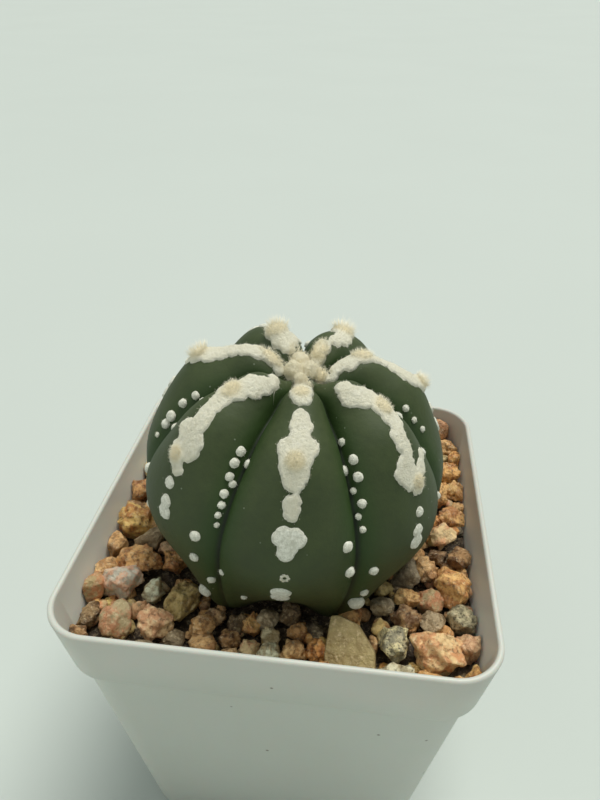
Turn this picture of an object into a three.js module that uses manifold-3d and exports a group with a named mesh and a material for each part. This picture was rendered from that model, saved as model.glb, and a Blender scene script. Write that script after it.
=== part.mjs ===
// Potted sand dollar cactus: a square plastic pot, potting mix, a gravel top dressing and one plant.
// Millimetres, +Z up. The origin is the middle of the pot's base, and the rib that faces -Y is the front rib.
import * as THREE from "three";
import { mergeVertices } from "three/addons/utils/BufferGeometryUtils.js";
import Module from "manifold-3d";

const wasm = await Module();
wasm.setup();

// Driving dimensions

const CLEARANCE = 0.3; // between two pieces that touch
const FULL_TURN = 360;

const POT = {
  height: 75,
  rimHalf: 40, // half the outer width at the lip
  rimCorner: 8.9,
  bandHeight: 13.5, // the collar around the top
  bandFootHalf: 38.5,
  bodyTopHalf: 37.6,
  bodyCorner: 9.5,
  baseHalf: 30,
  baseCorner: 7.5,
  baseRound: 1.2, // radius of the edge that it stands on
  wall: 1.2,
  floor: 2,
  cornerSteps: 6,
  drainRadius: 3,
  drainOffset: 15, // the holes are this far from the middle, along X and along Y
};

const SOIL = { top: 58.5, rootGap: 0.5 };

const BED = { topFront: 63.6, topBack: 66.8, bottom: 58.8, wallGap: 0.35, rootGap: 0.45, fleckGap: 1.25 };

// The plant's body is drawn around its heart, a point on its leaning axis. Each crest is a curve of
// [elevation in degrees, distance from the heart], from the tip of the root up to the sunken crown.
const HEART = new THREE.Vector3(0.7, -0.3, 91.4);
const LEAN = new THREE.Vector3(0.075, -0.016, 1);
const RIB_ANGLES = [-86, -35, 18, 71, 121, 170, 225];
const CREST = [
  [-90, 62], [-88, 60], [-84, 46], [-80, 38.5], [-74, 34.5], [-66, 33.5], [-58, 35.2], [-50, 36.7],
  [-30, 33.4], [-10, 31.2], [10, 27.8], [30, 25.7], [45, 22.8], [60, 20.7], [75, 14.8], [90, 14.9],
];
// How much closer to the heart a groove lies than its crest, as a share, by elevation.
const GROOVE = [[-90, 0], [-50, 0], [-25, 0.03], [0, 0.09], [30, 0.22], [60, 0.21], [90, 0]];
const CREASE = 0.035; // the extra share right at the groove's line
const ROUNDNESS = 2.1; // how broad a rib's top is
// The arch under each rib's foot: [share of the distance to the heart, narrowness], one for each rib.
const BASE_ARCHES = [[0.135, 1.1], [0.1, 3], [0.1, 3], [0.1, 3], [0.1, 3], [0.1, 3], [0.1, 3]];
const ELEVATIONS = [
  -88, -84, -79, -73, -66, -58, -50, -43, -36, -28, -20, -11, -2, 7, 16, 25, 34, 42, 49, 55,
  61, 67, 73, 79, 85,
];
const RIB_STEPS = [-1, -0.93, -0.74, -0.42, 0, 0.42, 0.74, 0.93];

// Felt spots: [elevation, place across the rib from groove -1 to groove 1, radius], one list for each rib.
// Those in FELT grow into each other, and each rib's band of them starts in the crown.
// Those in FLECKS stand alone on the skin.
const FELT = [
  [[66, 0, 1.6], [59, -0.07, 2.1], [53, 0, 1.7], [47, 0, 1.4], [42, 0.03, 2], [38, 0.03, 1.8],
    [33, -0.18, 1.7], [34, 0.2, 1.7], [29, -0.02, 2.7], [24, 0, 2.1], [20, 0, 1.5], [16, 0, 1.4],
    [12.5, 0, 1.3]],
  [[72, -0.2, 0.9], [60, -0.3, 1.6], [54, -0.33, 2.1], [51, -0.08, 2.2], [48, 0.22, 2], [43, 0.2, 2.3],
    [38, 0.15, 1.9], [34.5, 0.12, 1.5], [31, 0, 1.6], [27, 0, 1.4], [23.5, 0, 1.1], [20.5, -0.08, 1.6],
    [17, -0.2, 1.5], [14, -0.05, 2.2], [18, 0.38, 1.2], [15, 0.22, 1.5], [10.5, 0.03, 1.7]],
  [[77, -0.15, 1.6], [68, 0.07, 1.5], [64, -0.05, 1.8], [58, 0.15, 2], [52, 0.18, 1.7], [47, 0.12, 1.2],
    [42, -0.05, 1.1], [38, -0.15, 1.2], [33, -0.12, 1.6], [27, 0, 1.9]],
  [[75, 0.1, 1.5], [68, 0.1, 2.2], [58, -0.2, 1.5], [53, -0.25, 1.6], [48, -0.15, 1.8], [42, 0, 2.5],
    [37, 0.05, 1.6]],
  [[69, -0.2, 1.5], [63, 0.15, 1.9], [57, 0.1, 2.2], [51, 0, 2.2], [46, 0, 1.6]],
  [[72, 0, 1.5], [67, -0.1, 1.8], [62, 0.1, 1.6], [57, 0.2, 1.3], [46, 0.2, 1.5], [40, 0.2, 1.7],
    [34, 0.08, 2], [29, -0.05, 1.9]],
  [[74, 0.2, 1], [63, 0.38, 1.5], [57, 0.48, 1.7], [53, 0.35, 1.8], [54, 0.1, 1.7], [48, 0.07, 1.9],
    [45, -0.25, 1.8], [41, -0.05, 1.9], [37, -0.02, 1.5], [33, 0, 1.6], [29.5, 0.03, 1.5],
    [26.5, 0.08, 1.3], [23.5, -0.1, 1.7], [22, 0.15, 1.6], [18.5, 0.12, 1.9], [13.5, -0.05, 1.7],
    [10.5, 0.05, 1.5]],
];
const BAND = { start: 86, step: 3.5, neck: 0.55, height: 1.3, root: 0.7 };
// The tufts that stand out of the felt: [rib, elevation, across, radius, height].
const TUFTS = [
  [0, 88, 0, 2.9, 2], [4, 72, -0.45, 2.1, 2.2], [5, 81, -0.2, 1.9, 2.2], [3, 82, -0.52, 2, 2.2],
  [2, 77, -0.15, 1.5, 2], [0, 59, -0.07, 1.5, 2.1], [0, 29, -0.02, 1.4, 2.1], [1, 43, 0.2, 1.5, 2.2],
  [1, 11, 0.03, 1.2, 2], [2, 58, 0.15, 1.4, 2.1], [2, 27, 0, 1.4, 2.3], [3, 68, 0.1, 1.7, 2.3],
  [3, 42, 0, 1.8, 2.6], [4, 57, 0.1, 1.7, 2.6], [5, 67, -0.1, 1.3, 2.1], [5, 33, 0.05, 1.5, 2.6],
  [6, 46, -0.08, 1.5, 2.2], [6, 13.5, -0.05, 1.2, 2],
];

const FLECKS = [
  [[3.7, -0.11, 1.6], [3.5, 0.11, 1.6], [2, 0, 2], [-2, -0.02, 1.6], [-20, -0.03, 1.8], [-25, -0.03, 1.7]],
  [[1, -0.03, 0.9], [-5, -0.1, 1.2], [-9, -0.12, 1.5]],
  [[12, 0, 1.1], [4, -0.05, 1.5], [-9, 0, 1.2]],
  [[28, 0, 1.2], [18, 0, 1.7], [6, 0.05, 1.3], [-8, 0, 1.4]],
  [[36, 0, 1.3], [26, 0.05, 1.9], [12, 0, 1.2], [0, -0.05, 1.6], [-16, 0, 1.2]],
  [[14, 0.1, 1.3], [8, 0.12, 1.2], [-3, 0, 1.5], [-15, 0.1, 1.1]],
  [[4, 0.03, 1.1], [-2.5, 0.08, 1.2], [-6, 0.1, 1.4]],
];
// The small flecks beside the two grooves in front, each [elevation, across, radius], by rib.
const DOTS_BY_RIB = {
  0: [[20, -0.97, 0.8], [-33, -0.6, 0.6], [21, 0.97, 0.9], [-3, 0.8, 1], [-13, 0.86, 1], [-20, -0.9, 0.6]],
  1: [[34, -0.93, 0.7], [26, -0.86, 0.9], [19, -0.86, 0.9], [13, -0.95, 0.6], [9, -0.88, 0.8],
    [4, -0.95, 0.6], [0, -0.92, 0.6], [-15, -0.78, 0.9], [-27, -0.8, 0.8], [-33, -0.85, 1.6]],
  2: [[29, -0.78, 0.7], [22, -0.8, 0.6], [16, -0.77, 0.6]],
  5: [[26, 0.85, 0.8], [19, 0.82, 0.9], [11, 0.83, 1.1], [7, 0.85, 1], [1, 0.85, 0.5]],
  6: [[25, 0.86, 0.9], [20, 0.85, 0.9], [14.5, 0.86, 0.8], [11.5, 0.93, 0.7], [8, 0.88, 0.8], [4, 0.9, 0.7],
    [0.5, 0.9, 0.6], [-3, 0.92, 0.5], [-8, 0.68, 1], [-17, 0.68, 0.9], [-27, 0.9, 0.8], [-36, 0.72, 1.4]],
};
// The grooves that face away get theirs by rule.
const HIDDEN_GROOVES = [1, 2, 3, 4, 5];
const DOT_RULE = { first: 29, last: -26, step: 18, across: [0.8, 0.94], radius: [0.7, 1.1] };

// Outstanding stones, each [x, y, longest, middle, thickness, turn in degrees]. The slab lies in front.
const PLACED_STONES = [
  // In front of the plant.
  [14, -30, 10.5, 9.5, 8, 60], [-13.5, -28, 5.2, 4.8, 4.3, 10], [-11.7, -25.3, 4.4, 4.2, 4, 0],
  [-7, -26.2, 4.6, 4.4, 4.3, 30], [-4.5, -26.2, 5, 3.6, 4, 90], [-1.6, -25, 4.6, 4.4, 4.2, 0],
  [2.5, -23.5, 4.8, 4.4, 4.3, 60], [-7.8, -30, 4.2, 4, 3.8, 0], [-4, -31.4, 4.4, 4, 3.8, 20],
  [-0.3, -32, 5, 4.4, 4.3, 40], [-0.6, -28.2, 4, 3.8, 3.6, 0], [4, -30.6, 5.6, 4.8, 4.7, 10],
  [4.3, -26.6, 4.2, 4, 3.6, 0], [7.5, -26, 4.2, 4, 3.6, 50], [8.2, -30, 4.6, 4.2, 4, 20],
  // Left of it.
  [-34, -4, 8.5, 8, 7, 0], [-29.4, -8.6, 7.2, 6.2, 5.5, 30], [-30, -14.8, 9.8, 6.5, 6, 10],
  [-22.5, -14.5, 5.5, 5, 4.7, 0], [-31.6, -20.3, 8.7, 8, 7.5, 20], [-36, -17.5, 6, 5.5, 5, 90],
  [-25, -21, 5, 4.5, 4.3, 60], [-18.6, -23.3, 9, 6, 6, 80], [-29.5, -29.1, 7.2, 6.6, 6.7, 60],
  [-22.5, -28.7, 7, 6.8, 6.8, 40], [-35.5, -27.9, 6.5, 4, 4.5, 90], [-18.7, -30.3, 5, 4, 3.5, 0],
  // Right of it. The first two are one two-lobed stone.
  [30, -28.5, 9.5, 9, 8.5, 20], [35.5, -26.5, 6.5, 6.5, 6, 70], [35, 31.5, 6, 5.6, 4.5, 0],
  [35, 21.5, 6, 5.6, 4.8, 40], [35.5, 14.8, 5.5, 5.2, 4.5, 10], [34.8, 6.2, 6.6, 6, 5.4, 0],
  [32.2, 0.2, 6.4, 6, 5.4, 15], [31, -4.8, 4.4, 3.6, 3.4, 0], [35.4, -5.6, 5.6, 5.4, 5, 30],
  [24.4, -10.8, 6.8, 6.4, 6, 50], [28.4, -9.6, 5.8, 5, 4.8, 90], [33.4, -13.6, 10, 7.8, 7.4, 100],
  [24.6, -16.6, 5.2, 4.8, 4.5, 0], [24.4, -21.4, 6.2, 5.2, 5, 10], [29, -17, 5.6, 5.4, 5.1, 20],
  [29.4, -21.6, 5.4, 4.8, 4.5, 60], [35, -20.6, 6.2, 5.4, 5.2, 0], [22, -27.6, 7.8, 6, 6, 90],
  [19.8, -19.4, 5, 4.8, 4.4, 40],
];
const STONES = {
  // The scattered stones fall in three rounds, the large ones first. A size is the longest side.
  rounds: [
    { tries: 400, size: [6, 7.8] },
    { tries: 1200, size: [4.6, 6] },
    { tries: 700, size: [3.6, 4.5] },
  ],
  plain: 4.8, // a stone smaller than this has eight faces, a larger one twenty
  spread: 0.76, // how near two stones' middles may come, as a share of their summed radii
  flatness: [0.7, 0.95],
  sunk: 0.38, // a stone's middle lies this share of its thickness above the bed
  lift: 0.5, // and up to this much higher or lower
  tuck: 2.6, // how far stones reach in under the plant
  roughness: 0.14,
  wallMargin: 1.4,
  cornerRound: 8,
};

const COLOURS = {
  pot: "#e9ebe6",
  soil: "#4a3b2c",
  gravel: "#8d6f4c",
  skin: "#33492c",
  wool: "#ded2b4",
};

// Small helpers

const radians = THREE.MathUtils.degToRad;

// A smooth curve through a table of [x, y] pairs, held level beyond its ends.
function smoothTable(table, x) {
  const last = table.length - 1;
  const slope = (k) => {
    const a = Math.max(k - 1, 0);
    const b = Math.min(k + 1, last);
    return (table[b][1] - table[a][1]) / (table[b][0] - table[a][0]);
  };
  const at = THREE.MathUtils.clamp(x, table[0][0], table[last][0]);
  let k = 0;
  while (k < last - 1 && at > table[k + 1][0]) k += 1;
  const span = table[k + 1][0] - table[k][0];
  const t = (at - table[k][0]) / span;
  return (
    table[k][1] * (2 * t ** 3 - 3 * t ** 2 + 1) +
    slope(k) * span * (t ** 3 - 2 * t ** 2 + t) +
    table[k + 1][1] * (3 * t ** 2 - 2 * t ** 3) +
    slope(k + 1) * span * (t ** 3 - t ** 2)
  );
}

// A repeatable source of numbers from 0 to 1.
function randomSource(seed) {
  let state = seed >>> 0;
  return () => {
    state = (Math.imul(state, 1664525) + 1013904223) >>> 0;
    return state / 4294967296;
  };
}

function toSolid(geometry) {
  const bare = new THREE.BufferGeometry();
  bare.setAttribute("position", geometry.getAttribute("position"));
  bare.setIndex(geometry.index);
  const merged = mergeVertices(bare, 1e-4);
  return new wasm.Manifold(
    new wasm.Mesh({
      numProp: 3,
      vertProperties: new Float32Array(merged.getAttribute("position").array),
      triVerts: new Uint32Array(merged.index.array),
    }),
  );
}

function toMesh(solid, name, colour, roughness) {
  const data = solid.getMesh();
  const geometry = new THREE.BufferGeometry();
  geometry.setAttribute("position", new THREE.BufferAttribute(new Float32Array(data.vertProperties), 3));
  geometry.setIndex(new THREE.BufferAttribute(new Uint32Array(data.triVerts), 1));
  geometry.computeVertexNormals();
  const material = new THREE.MeshStandardMaterial({ color: colour, roughness, metalness: 0 });
  const mesh = new THREE.Mesh(geometry, material);
  mesh.name = name;
  return mesh;
}

function joinAll(solids) {
  let round = solids;
  while (round.length > 1) {
    const next = [];
    for (let k = 0; k < round.length; k += 2) {
      next.push(k + 1 < round.length ? round[k].add(round[k + 1]) : round[k]);
    }
    round = next;
  }
  return round[0];
}

// A closed skin over rings of equally many points, from the lowest outside ring to the last one.
function skinRings(rings) {
  const count = rings[0].length;
  const positions = [];
  const index = [];
  for (const ring of rings) {
    for (const p of ring) positions.push(p.x, p.y, p.z);
  }
  for (let r = 0; r + 1 < rings.length; r += 1) {
    for (let k = 0; k < count; k += 1) {
      const a = r * count + k;
      const b = r * count + ((k + 1) % count);
      index.push(a, b, b + count, a, b + count, a + count);
    }
  }
  const cap = (ring, offset, flip) => {
    const centre = ring.reduce((sum, p) => sum.add(p), new THREE.Vector3()).divideScalar(count);
    const hub = positions.length / 3;
    positions.push(centre.x, centre.y, centre.z);
    for (let k = 0; k < count; k += 1) {
      const a = offset + k;
      const b = offset + ((k + 1) % count);
      index.push(...(flip ? [hub, b, a] : [hub, a, b]));
    }
  };
  cap(rings[0], 0, true);
  cap(rings.at(-1), (rings.length - 1) * count, false);
  const geometry = new THREE.BufferGeometry();
  geometry.setAttribute("position", new THREE.Float32BufferAttribute(positions, 3));
  geometry.setIndex(index);
  return geometry;
}

// One level outline of a square with round corners.
function squareRing(half, corner, z) {
  const ring = [];
  for (let side = 0; side < 4; side += 1) {
    const middle = radians(45 + 90 * side);
    const cx = Math.sign(Math.cos(middle)) * (half - corner);
    const cy = Math.sign(Math.sin(middle)) * (half - corner);
    for (let k = 0; k <= POT.cornerSteps; k += 1) {
      const angle = radians(90 * side + (90 * k) / POT.cornerSteps);
      ring.push(new THREE.Vector3(cx + corner * Math.cos(angle), cy + corner * Math.sin(angle), z));
    }
  }
  return ring;
}

// The pot

// Half the pot's outer width at a height below the collar, and the same for its corner radius.
const taper = (z, base, top) => base + ((top - base) * z) / (POT.height - POT.bandHeight);
const bodyHalf = (z) => taper(z, POT.baseHalf, POT.bodyTopHalf);
const bodyCorner = (z) => taper(z, POT.baseCorner, POT.bodyCorner);

// The inside of the pot: the half width and corner radius at any height.
function insideAt(z) {
  const bandFoot = POT.height - POT.bandHeight;
  if (z < bandFoot) return [bodyHalf(z) - POT.wall, bodyCorner(z) - POT.wall];
  const rise = (z - bandFoot) / POT.bandHeight;
  const half = POT.bandFootHalf + (POT.rimHalf - POT.bandFootHalf) * rise;
  return [half - POT.wall, POT.rimCorner - POT.wall];
}

function potSolid() {
  const bandFoot = POT.height - POT.bandHeight;
  const lip = POT.wall / 2;
  const outside = [
    squareRing(POT.baseHalf - POT.baseRound, POT.baseCorner - POT.baseRound, 0),
    squareRing(POT.baseHalf - POT.baseRound * 0.3, POT.baseCorner - POT.baseRound * 0.3, POT.baseRound * 0.3),
    squareRing(bodyHalf(POT.baseRound), bodyCorner(POT.baseRound), POT.baseRound),
    squareRing(bodyHalf(bandFoot - 0.5), bodyCorner(bandFoot - 0.5), bandFoot - 0.5),
    squareRing(POT.bandFootHalf - 0.35, POT.rimCorner, bandFoot - 0.2),
    squareRing(POT.bandFootHalf, POT.rimCorner, bandFoot + 0.4),
    squareRing(POT.rimHalf, POT.rimCorner, POT.height - lip),
  ];
  const lipRings = [60, 120].map((angle) => {
    const out = lip * Math.cos(radians(angle));
    const up = lip * Math.sin(radians(angle));
    return squareRing(POT.rimHalf - lip + out, POT.rimCorner - lip + out, POT.height - lip + up);
  });
  const insideHeights = [POT.height - lip, bandFoot + 0.01, bandFoot - 1, POT.floor];
  const inside = insideHeights.map((z) => squareRing(...insideAt(z), z));
  let solid = toSolid(skinRings([...outside, ...lipRings, ...inside]));
  for (const sx of [-1, 1]) {
    for (const sy of [-1, 1]) {
      const drill = new THREE.CylinderGeometry(POT.drainRadius, POT.drainRadius, POT.floor * 3, 16);
      drill.rotateX(Math.PI / 2).translate(sx * POT.drainOffset, sy * POT.drainOffset, 0);
      solid = solid.subtract(toSolid(drill));
    }
  }
  return solid;
}

// A block that fills the pot between two heights, clear of its walls. Its top may slope along Y.
function fillOf(bottom, top, gap, topAt = () => top) {
  const bandFoot = POT.height - POT.bandHeight;
  const heights = [bottom];
  if (bottom < bandFoot - 1 && top > bandFoot + 0.01) heights.push(bandFoot - 1, bandFoot + 0.01);
  heights.push(top);
  const rings = heights.map((z) => {
    const [half, corner] = insideAt(z);
    return squareRing(half - gap, corner - gap, z);
  });
  for (const p of rings.at(-1)) p.z = topAt(p.y);
  return toSolid(skinRings(rings));
}

// The plant's body

const AXIS_Z = LEAN.clone().normalize();
const AXIS_X = new THREE.Vector3(1, 0, 0).addScaledVector(AXIS_Z, -AXIS_Z.x).normalize();
const AXIS_Y = new THREE.Vector3().crossVectors(AXIS_Z, AXIS_X);

// The azimuth, in radians, at a place across a rib: -1 and 1 are the grooves beside it.
function azimuthOf(rib, across) {
  const count = RIB_ANGLES.length;
  const here = RIB_ANGLES[rib];
  const next = RIB_ANGLES[(rib + 1) % count] + (rib === count - 1 ? FULL_TURN : 0);
  const before = RIB_ANGLES[(rib + count - 1) % count] - (rib === 0 ? FULL_TURN : 0);
  const reach = across >= 0 ? next - here : here - before;
  return radians(here + (reach / 2) * across);
}

// A smooth step from 0 at a to 1 at b.
const ramp = (x, a, b) => THREE.MathUtils.clamp((x - a) / (b - a), 0, 1);

// A point of the skin, or of a skin that is larger by a given distance.
function skinPoint(rib, across, elevation, grown = 0) {
  const sink = smoothTable(GROOVE, elevation) * Math.abs(across) ** ROUNDNESS;
  const creaseEnds = ramp(elevation, -60, -40) * ramp(elevation, 88, 68);
  const crease = CREASE * ramp(Math.abs(across), 0.8, 1) ** 2 * creaseEnds;
  const underside = ramp(elevation, -12, -45) ** 1.5 * ramp(elevation, -70, -50);
  const [share, narrowness] = BASE_ARCHES[rib];
  const hollow = share * underside * Math.max(1 - across ** 2, 0) ** narrowness;
  const distance = smoothTable(CREST, elevation) * (1 - sink - crease - hollow) + grown;
  const azimuth = azimuthOf(rib, across);
  const rise = radians(elevation);
  return HEART.clone()
    .addScaledVector(AXIS_X, distance * Math.cos(rise) * Math.cos(azimuth))
    .addScaledVector(AXIS_Y, distance * Math.cos(rise) * Math.sin(azimuth))
    .addScaledVector(AXIS_Z, distance * Math.sin(rise));
}

function skinNormal(rib, across, elevation) {
  const here = skinPoint(rib, across, elevation);
  const aside = skinPoint(rib, across + 0.02, elevation).sub(here);
  const above = skinPoint(rib, across, elevation + 0.5).sub(here);
  return aside.cross(above).normalize();
}

// The body's closed skin over the elevations and the steps across each rib, grown by a distance that
// may depend on the elevation.
function bodySkin(grownAt, elevations, steps) {
  const rings = elevations.map((elevation) => {
    const grown = grownAt(elevation);
    return RIB_ANGLES.flatMap((_, rib) => steps.map((across) => skinPoint(rib, across, elevation, grown)));
  });
  return toSolid(skinRings(rings));
}

// A low pad on the skin: a squat dome whose root is sunk under the skin.
function pad(rib, across, elevation, radius, height, root, sides) {
  const profile = [
    new THREE.Vector2(0, -root),
    new THREE.Vector2(radius, -root),
    new THREE.Vector2(radius * 0.65, height),
    new THREE.Vector2(0, height),
  ];
  const geometry = new THREE.LatheGeometry(profile, sides);
  const up = skinNormal(rib, across, elevation);
  const place = new THREE.Matrix4()
    .makeRotationFromQuaternion(new THREE.Quaternion().setFromUnitVectors(new THREE.Vector3(0, 1, 0), up))
    .setPosition(skinPoint(rib, across, elevation));
  return toSolid(geometry.applyMatrix4(place));
}

// Half a rib's width in millimetres at an elevation, from its crest to one of its grooves.
function halfWidth(rib, side, elevation) {
  const reach = Math.abs(azimuthOf(rib, side) - azimuthOf(rib, 0));
  return reach * smoothTable(CREST, elevation) * Math.cos(radians(elevation));
}

// The two edges of a rib's felt at an elevation, in millimetres from its crest, round its spots.
function feltEdges(rib, elevation) {
  let left = Infinity;
  let right = -Infinity;
  for (const [e, across, radius] of FELT[rib]) {
    const away = radians(elevation - e) * smoothTable(CREST, elevation);
    if (Math.abs(away) >= radius) continue;
    const reach = Math.sqrt(radius ** 2 - away ** 2);
    const middle = across * halfWidth(rib, Math.sign(across) || 1, e);
    left = Math.min(left, middle - reach);
    right = Math.max(right, middle + reach);
  }
  if (right - left >= 2 * BAND.neck) return [left, right];
  const near = FELT[rib].reduce((a, b) => (Math.abs(b[0] - elevation) < Math.abs(a[0] - elevation) ? b : a));
  const middle = near[1] * halfWidth(rib, Math.sign(near[1]) || 1, elevation);
  return [middle - BAND.neck, middle + BAND.neck];
}

// One rib's band of felt, from the crown out to its last spot.
function feltBand(rib) {
  const last = Math.min(...FELT[rib].map(([e, , radius]) => e - (radius * FULL_TURN) / (2 * Math.PI * 30)));
  const steps = Math.ceil((BAND.start - last) / BAND.step);
  const rings = [];
  for (let k = 0; k <= steps; k += 1) {
    const elevation = BAND.start + ((last - BAND.start) * k) / steps;
    const [left, right] = feltEdges(rib, elevation);
    const at = (share, lift) => {
      const offset = left + (right - left) * share;
      const across = offset / halfWidth(rib, Math.sign(offset) || 1, elevation);
      const flat = THREE.MathUtils.clamp(across, -1.4, 1.4);
      const up = skinNormal(rib, THREE.MathUtils.clamp(flat, -0.9, 0.9), elevation);
      return skinPoint(rib, flat, elevation).addScaledVector(up, lift);
    };
    const shoulder = BAND.height * 0.75;
    rings.push([
      at(0, -BAND.root),
      at(0.05, shoulder),
      at(0.5, BAND.height),
      at(0.95, shoulder),
      at(1, -BAND.root),
    ]);
  }
  return toSolid(skinRings(rings.reverse()));
}

function dotPlaces() {
  const places = [];
  for (const [rib, dots] of Object.entries(DOTS_BY_RIB)) {
    for (const [elevation, across, radius] of dots) places.push([Number(rib), across, elevation, radius]);
  }
  const random = randomSource(7);
  const between = (a, b) => a + (b - a) * random();
  for (const groove of HIDDEN_GROOVES) {
    for (const side of [1, -1]) {
      const rib = side > 0 ? groove : (groove + 1) % RIB_ANGLES.length;
      const known = DOTS_BY_RIB[rib]?.some(([, across]) => Math.sign(across) === side);
      if (known) continue;
      for (let e = DOT_RULE.first; e >= DOT_RULE.last; e -= DOT_RULE.step) {
        const across = side * between(...DOT_RULE.across);
        places.push([rib, across, e + between(-2, 2), between(...DOT_RULE.radius)]);
      }
    }
  }
  return places;
}

function cactusSolid() {
  const pieces = [bodySkin(() => 0, ELEVATIONS, RIB_STEPS)];
  FLECKS.forEach((flecks, rib) => {
    for (const [elevation, across, radius] of flecks) {
      pieces.push(pad(rib, across, elevation, radius, 0.9, 0.6, 6));
    }
  });
  for (const [rib, across, elevation, radius] of dotPlaces()) {
    pieces.push(pad(rib, across, elevation, radius, radius * 0.7, 0.5, 5));
  }
  return joinAll(pieces);
}

// The wool, one growth from the crown out along the ribs, kept just off the skin.
function woolSolid() {
  const bands = RIB_ANGLES.map((_, rib) => feltBand(rib));
  const tufts = TUFTS.map(([rib, elevation, across, radius, height]) =>
    pad(rib, across, elevation, radius, height, BAND.root, 6),
  );
  const nearCrown = ELEVATIONS.filter((e) => e > -10);
  const grown = bodySkin(() => CLEARANCE + 0.05, [-12, ...nearCrown], RIB_STEPS);
  return joinAll([...bands, ...tufts]).subtract(grown);
}

// The gravel

// The bed's top rises towards the back wall.
function bedTop(y) {
  const inner = POT.rimHalf - POT.wall;
  return BED.topFront + ((BED.topBack - BED.topFront) * (y + inner)) / (2 * inner);
}

// How far a point is from the plant's axis line at a height, less the plant's own radius there.
function roomBesidePlant(x, y, z) {
  const rise = (z - HEART.z) / AXIS_Z.z;
  const dx = x - (HEART.x + AXIS_Z.x * rise);
  const dy = y - (HEART.y + AXIS_Z.y * rise);
  const elevation = -35;
  const radius = smoothTable(CREST, elevation) * Math.cos(radians(elevation));
  return Math.hypot(dx, dy) - radius;
}

function stonePlaces() {
  const random = randomSource(41);
  const between = (a, b) => a + (b - a) * random();
  const stones = PLACED_STONES.map(([x, y, a, b, c, turn]) => ({ x, y, size: [a, b, c], turn, tilt: 0 }));
  const inner = POT.rimHalf - POT.wall - STONES.wallMargin;
  const straight = inner - STONES.cornerRound;
  for (const { tries, size } of STONES.rounds) {
    for (let k = 0; k < tries; k += 1) {
      const x = between(-inner, inner);
      const y = between(-inner, inner);
      const long = between(...size);
      const corner = Math.hypot(Math.max(Math.abs(x) - straight, 0), Math.max(Math.abs(y) - straight, 0));
      if (corner > STONES.cornerRound || roomBesidePlant(x, y, bedTop(y)) < -STONES.tuck) continue;
      const crowded = stones.some((s) => {
        const reach = (s.size[0] + s.size[1] + long * 2) / 4;
        return Math.hypot(s.x - x, s.y - y) < reach * STONES.spread;
      });
      if (crowded) continue;
      const sides = [long, long * between(0.75, 1), long * between(...STONES.flatness)];
      stones.push({ x, y, size: sides, turn: between(0, FULL_TURN), tilt: between(-25, 25) });
    }
  }
  return stones;
}

function stoneSolid(stone, number) {
  const random = randomSource(1000 + number);
  const small = stone.size[0] < STONES.plain;
  const raw = small ? new THREE.OctahedronGeometry(1, 0) : new THREE.IcosahedronGeometry(1, 0);
  raw.deleteAttribute("normal");
  raw.deleteAttribute("uv");
  const geometry = mergeVertices(raw, 1e-4);
  const points = geometry.getAttribute("position");
  for (let k = 0; k < points.count; k += 1) {
    const stretch = 1 + STONES.roughness * (2 * random() - 1);
    points.setXYZ(k, points.getX(k) * stretch, points.getY(k) * stretch, points.getZ(k) * stretch);
  }
  geometry.rotateX(random() * Math.PI).rotateY(random() * Math.PI);
  geometry.scale(stone.size[0] / 2, stone.size[1] / 2, stone.size[2] / 2);
  geometry.rotateX(radians(stone.tilt)).rotateZ(radians(stone.turn));
  const rise = STONES.sunk * stone.size[2] + STONES.lift * (2 * random() - 1);
  geometry.translate(stone.x, stone.y, bedTop(stone.y) + rise);
  return toSolid(geometry);
}

function gravelSolid() {
  const stones = stonePlaces().map(stoneSolid);
  const bed = fillOf(BED.bottom, BED.topFront, BED.wallGap, bedTop);
  const space = fillOf(BED.bottom, POT.height - 1, BED.wallGap);
  const low = ELEVATIONS.filter((e) => e < 0);
  const roomAt = (elevation) => (elevation > -48 ? BED.fleckGap : BED.rootGap);
  const plantRoom = bodySkin(roomAt, [...low, 10, 20], [-1, -0.74, -0.42, 0, 0.42, 0.74]);
  const joined = joinAll([bed, ...stones]).intersect(space).subtract(plantRoom);
  return joined.decompose().reduce((best, body) => (body.volume() > best.volume() ? body : best));
}

function soilSolid() {
  const block = fillOf(POT.floor + CLEARANCE, SOIL.top, CLEARANCE);
  const low = ELEVATIONS.filter((e) => e < -20);
  return block.subtract(bodySkin(() => SOIL.rootGap, [-89, ...low, -20], [-1, -0.5, 0, 0.5]));
}

const part = new THREE.Group();
part.name = "potted_sand_dollar_cactus";
part.add(toMesh(potSolid(), "pot", COLOURS.pot, 0.45));
part.add(toMesh(soilSolid(), "potting_mix", COLOURS.soil, 0.95));
part.add(toMesh(gravelSolid(), "gravel", COLOURS.gravel, 0.8));
part.add(toMesh(cactusSolid(), "cactus_body", COLOURS.skin, 0.55));
part.add(toMesh(woolSolid(), "crown_wool", COLOURS.wool, 1));

export default part;
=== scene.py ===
"""Potted sand dollar cactus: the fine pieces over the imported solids.

The pot, the gravel, the plant's skin, its felt, flecks and hairs are made here from the same named sizes as
the solids. Sizes are in millimetres while a piece is shaped, and become metres when the piece is finished.
"""

import math
import random

import bmesh
import bpy
import numpy as np
from bpy.props import FloatProperty, FloatVectorProperty, IntProperty, PointerProperty
from mathutils import Matrix, Vector, noise


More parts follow.
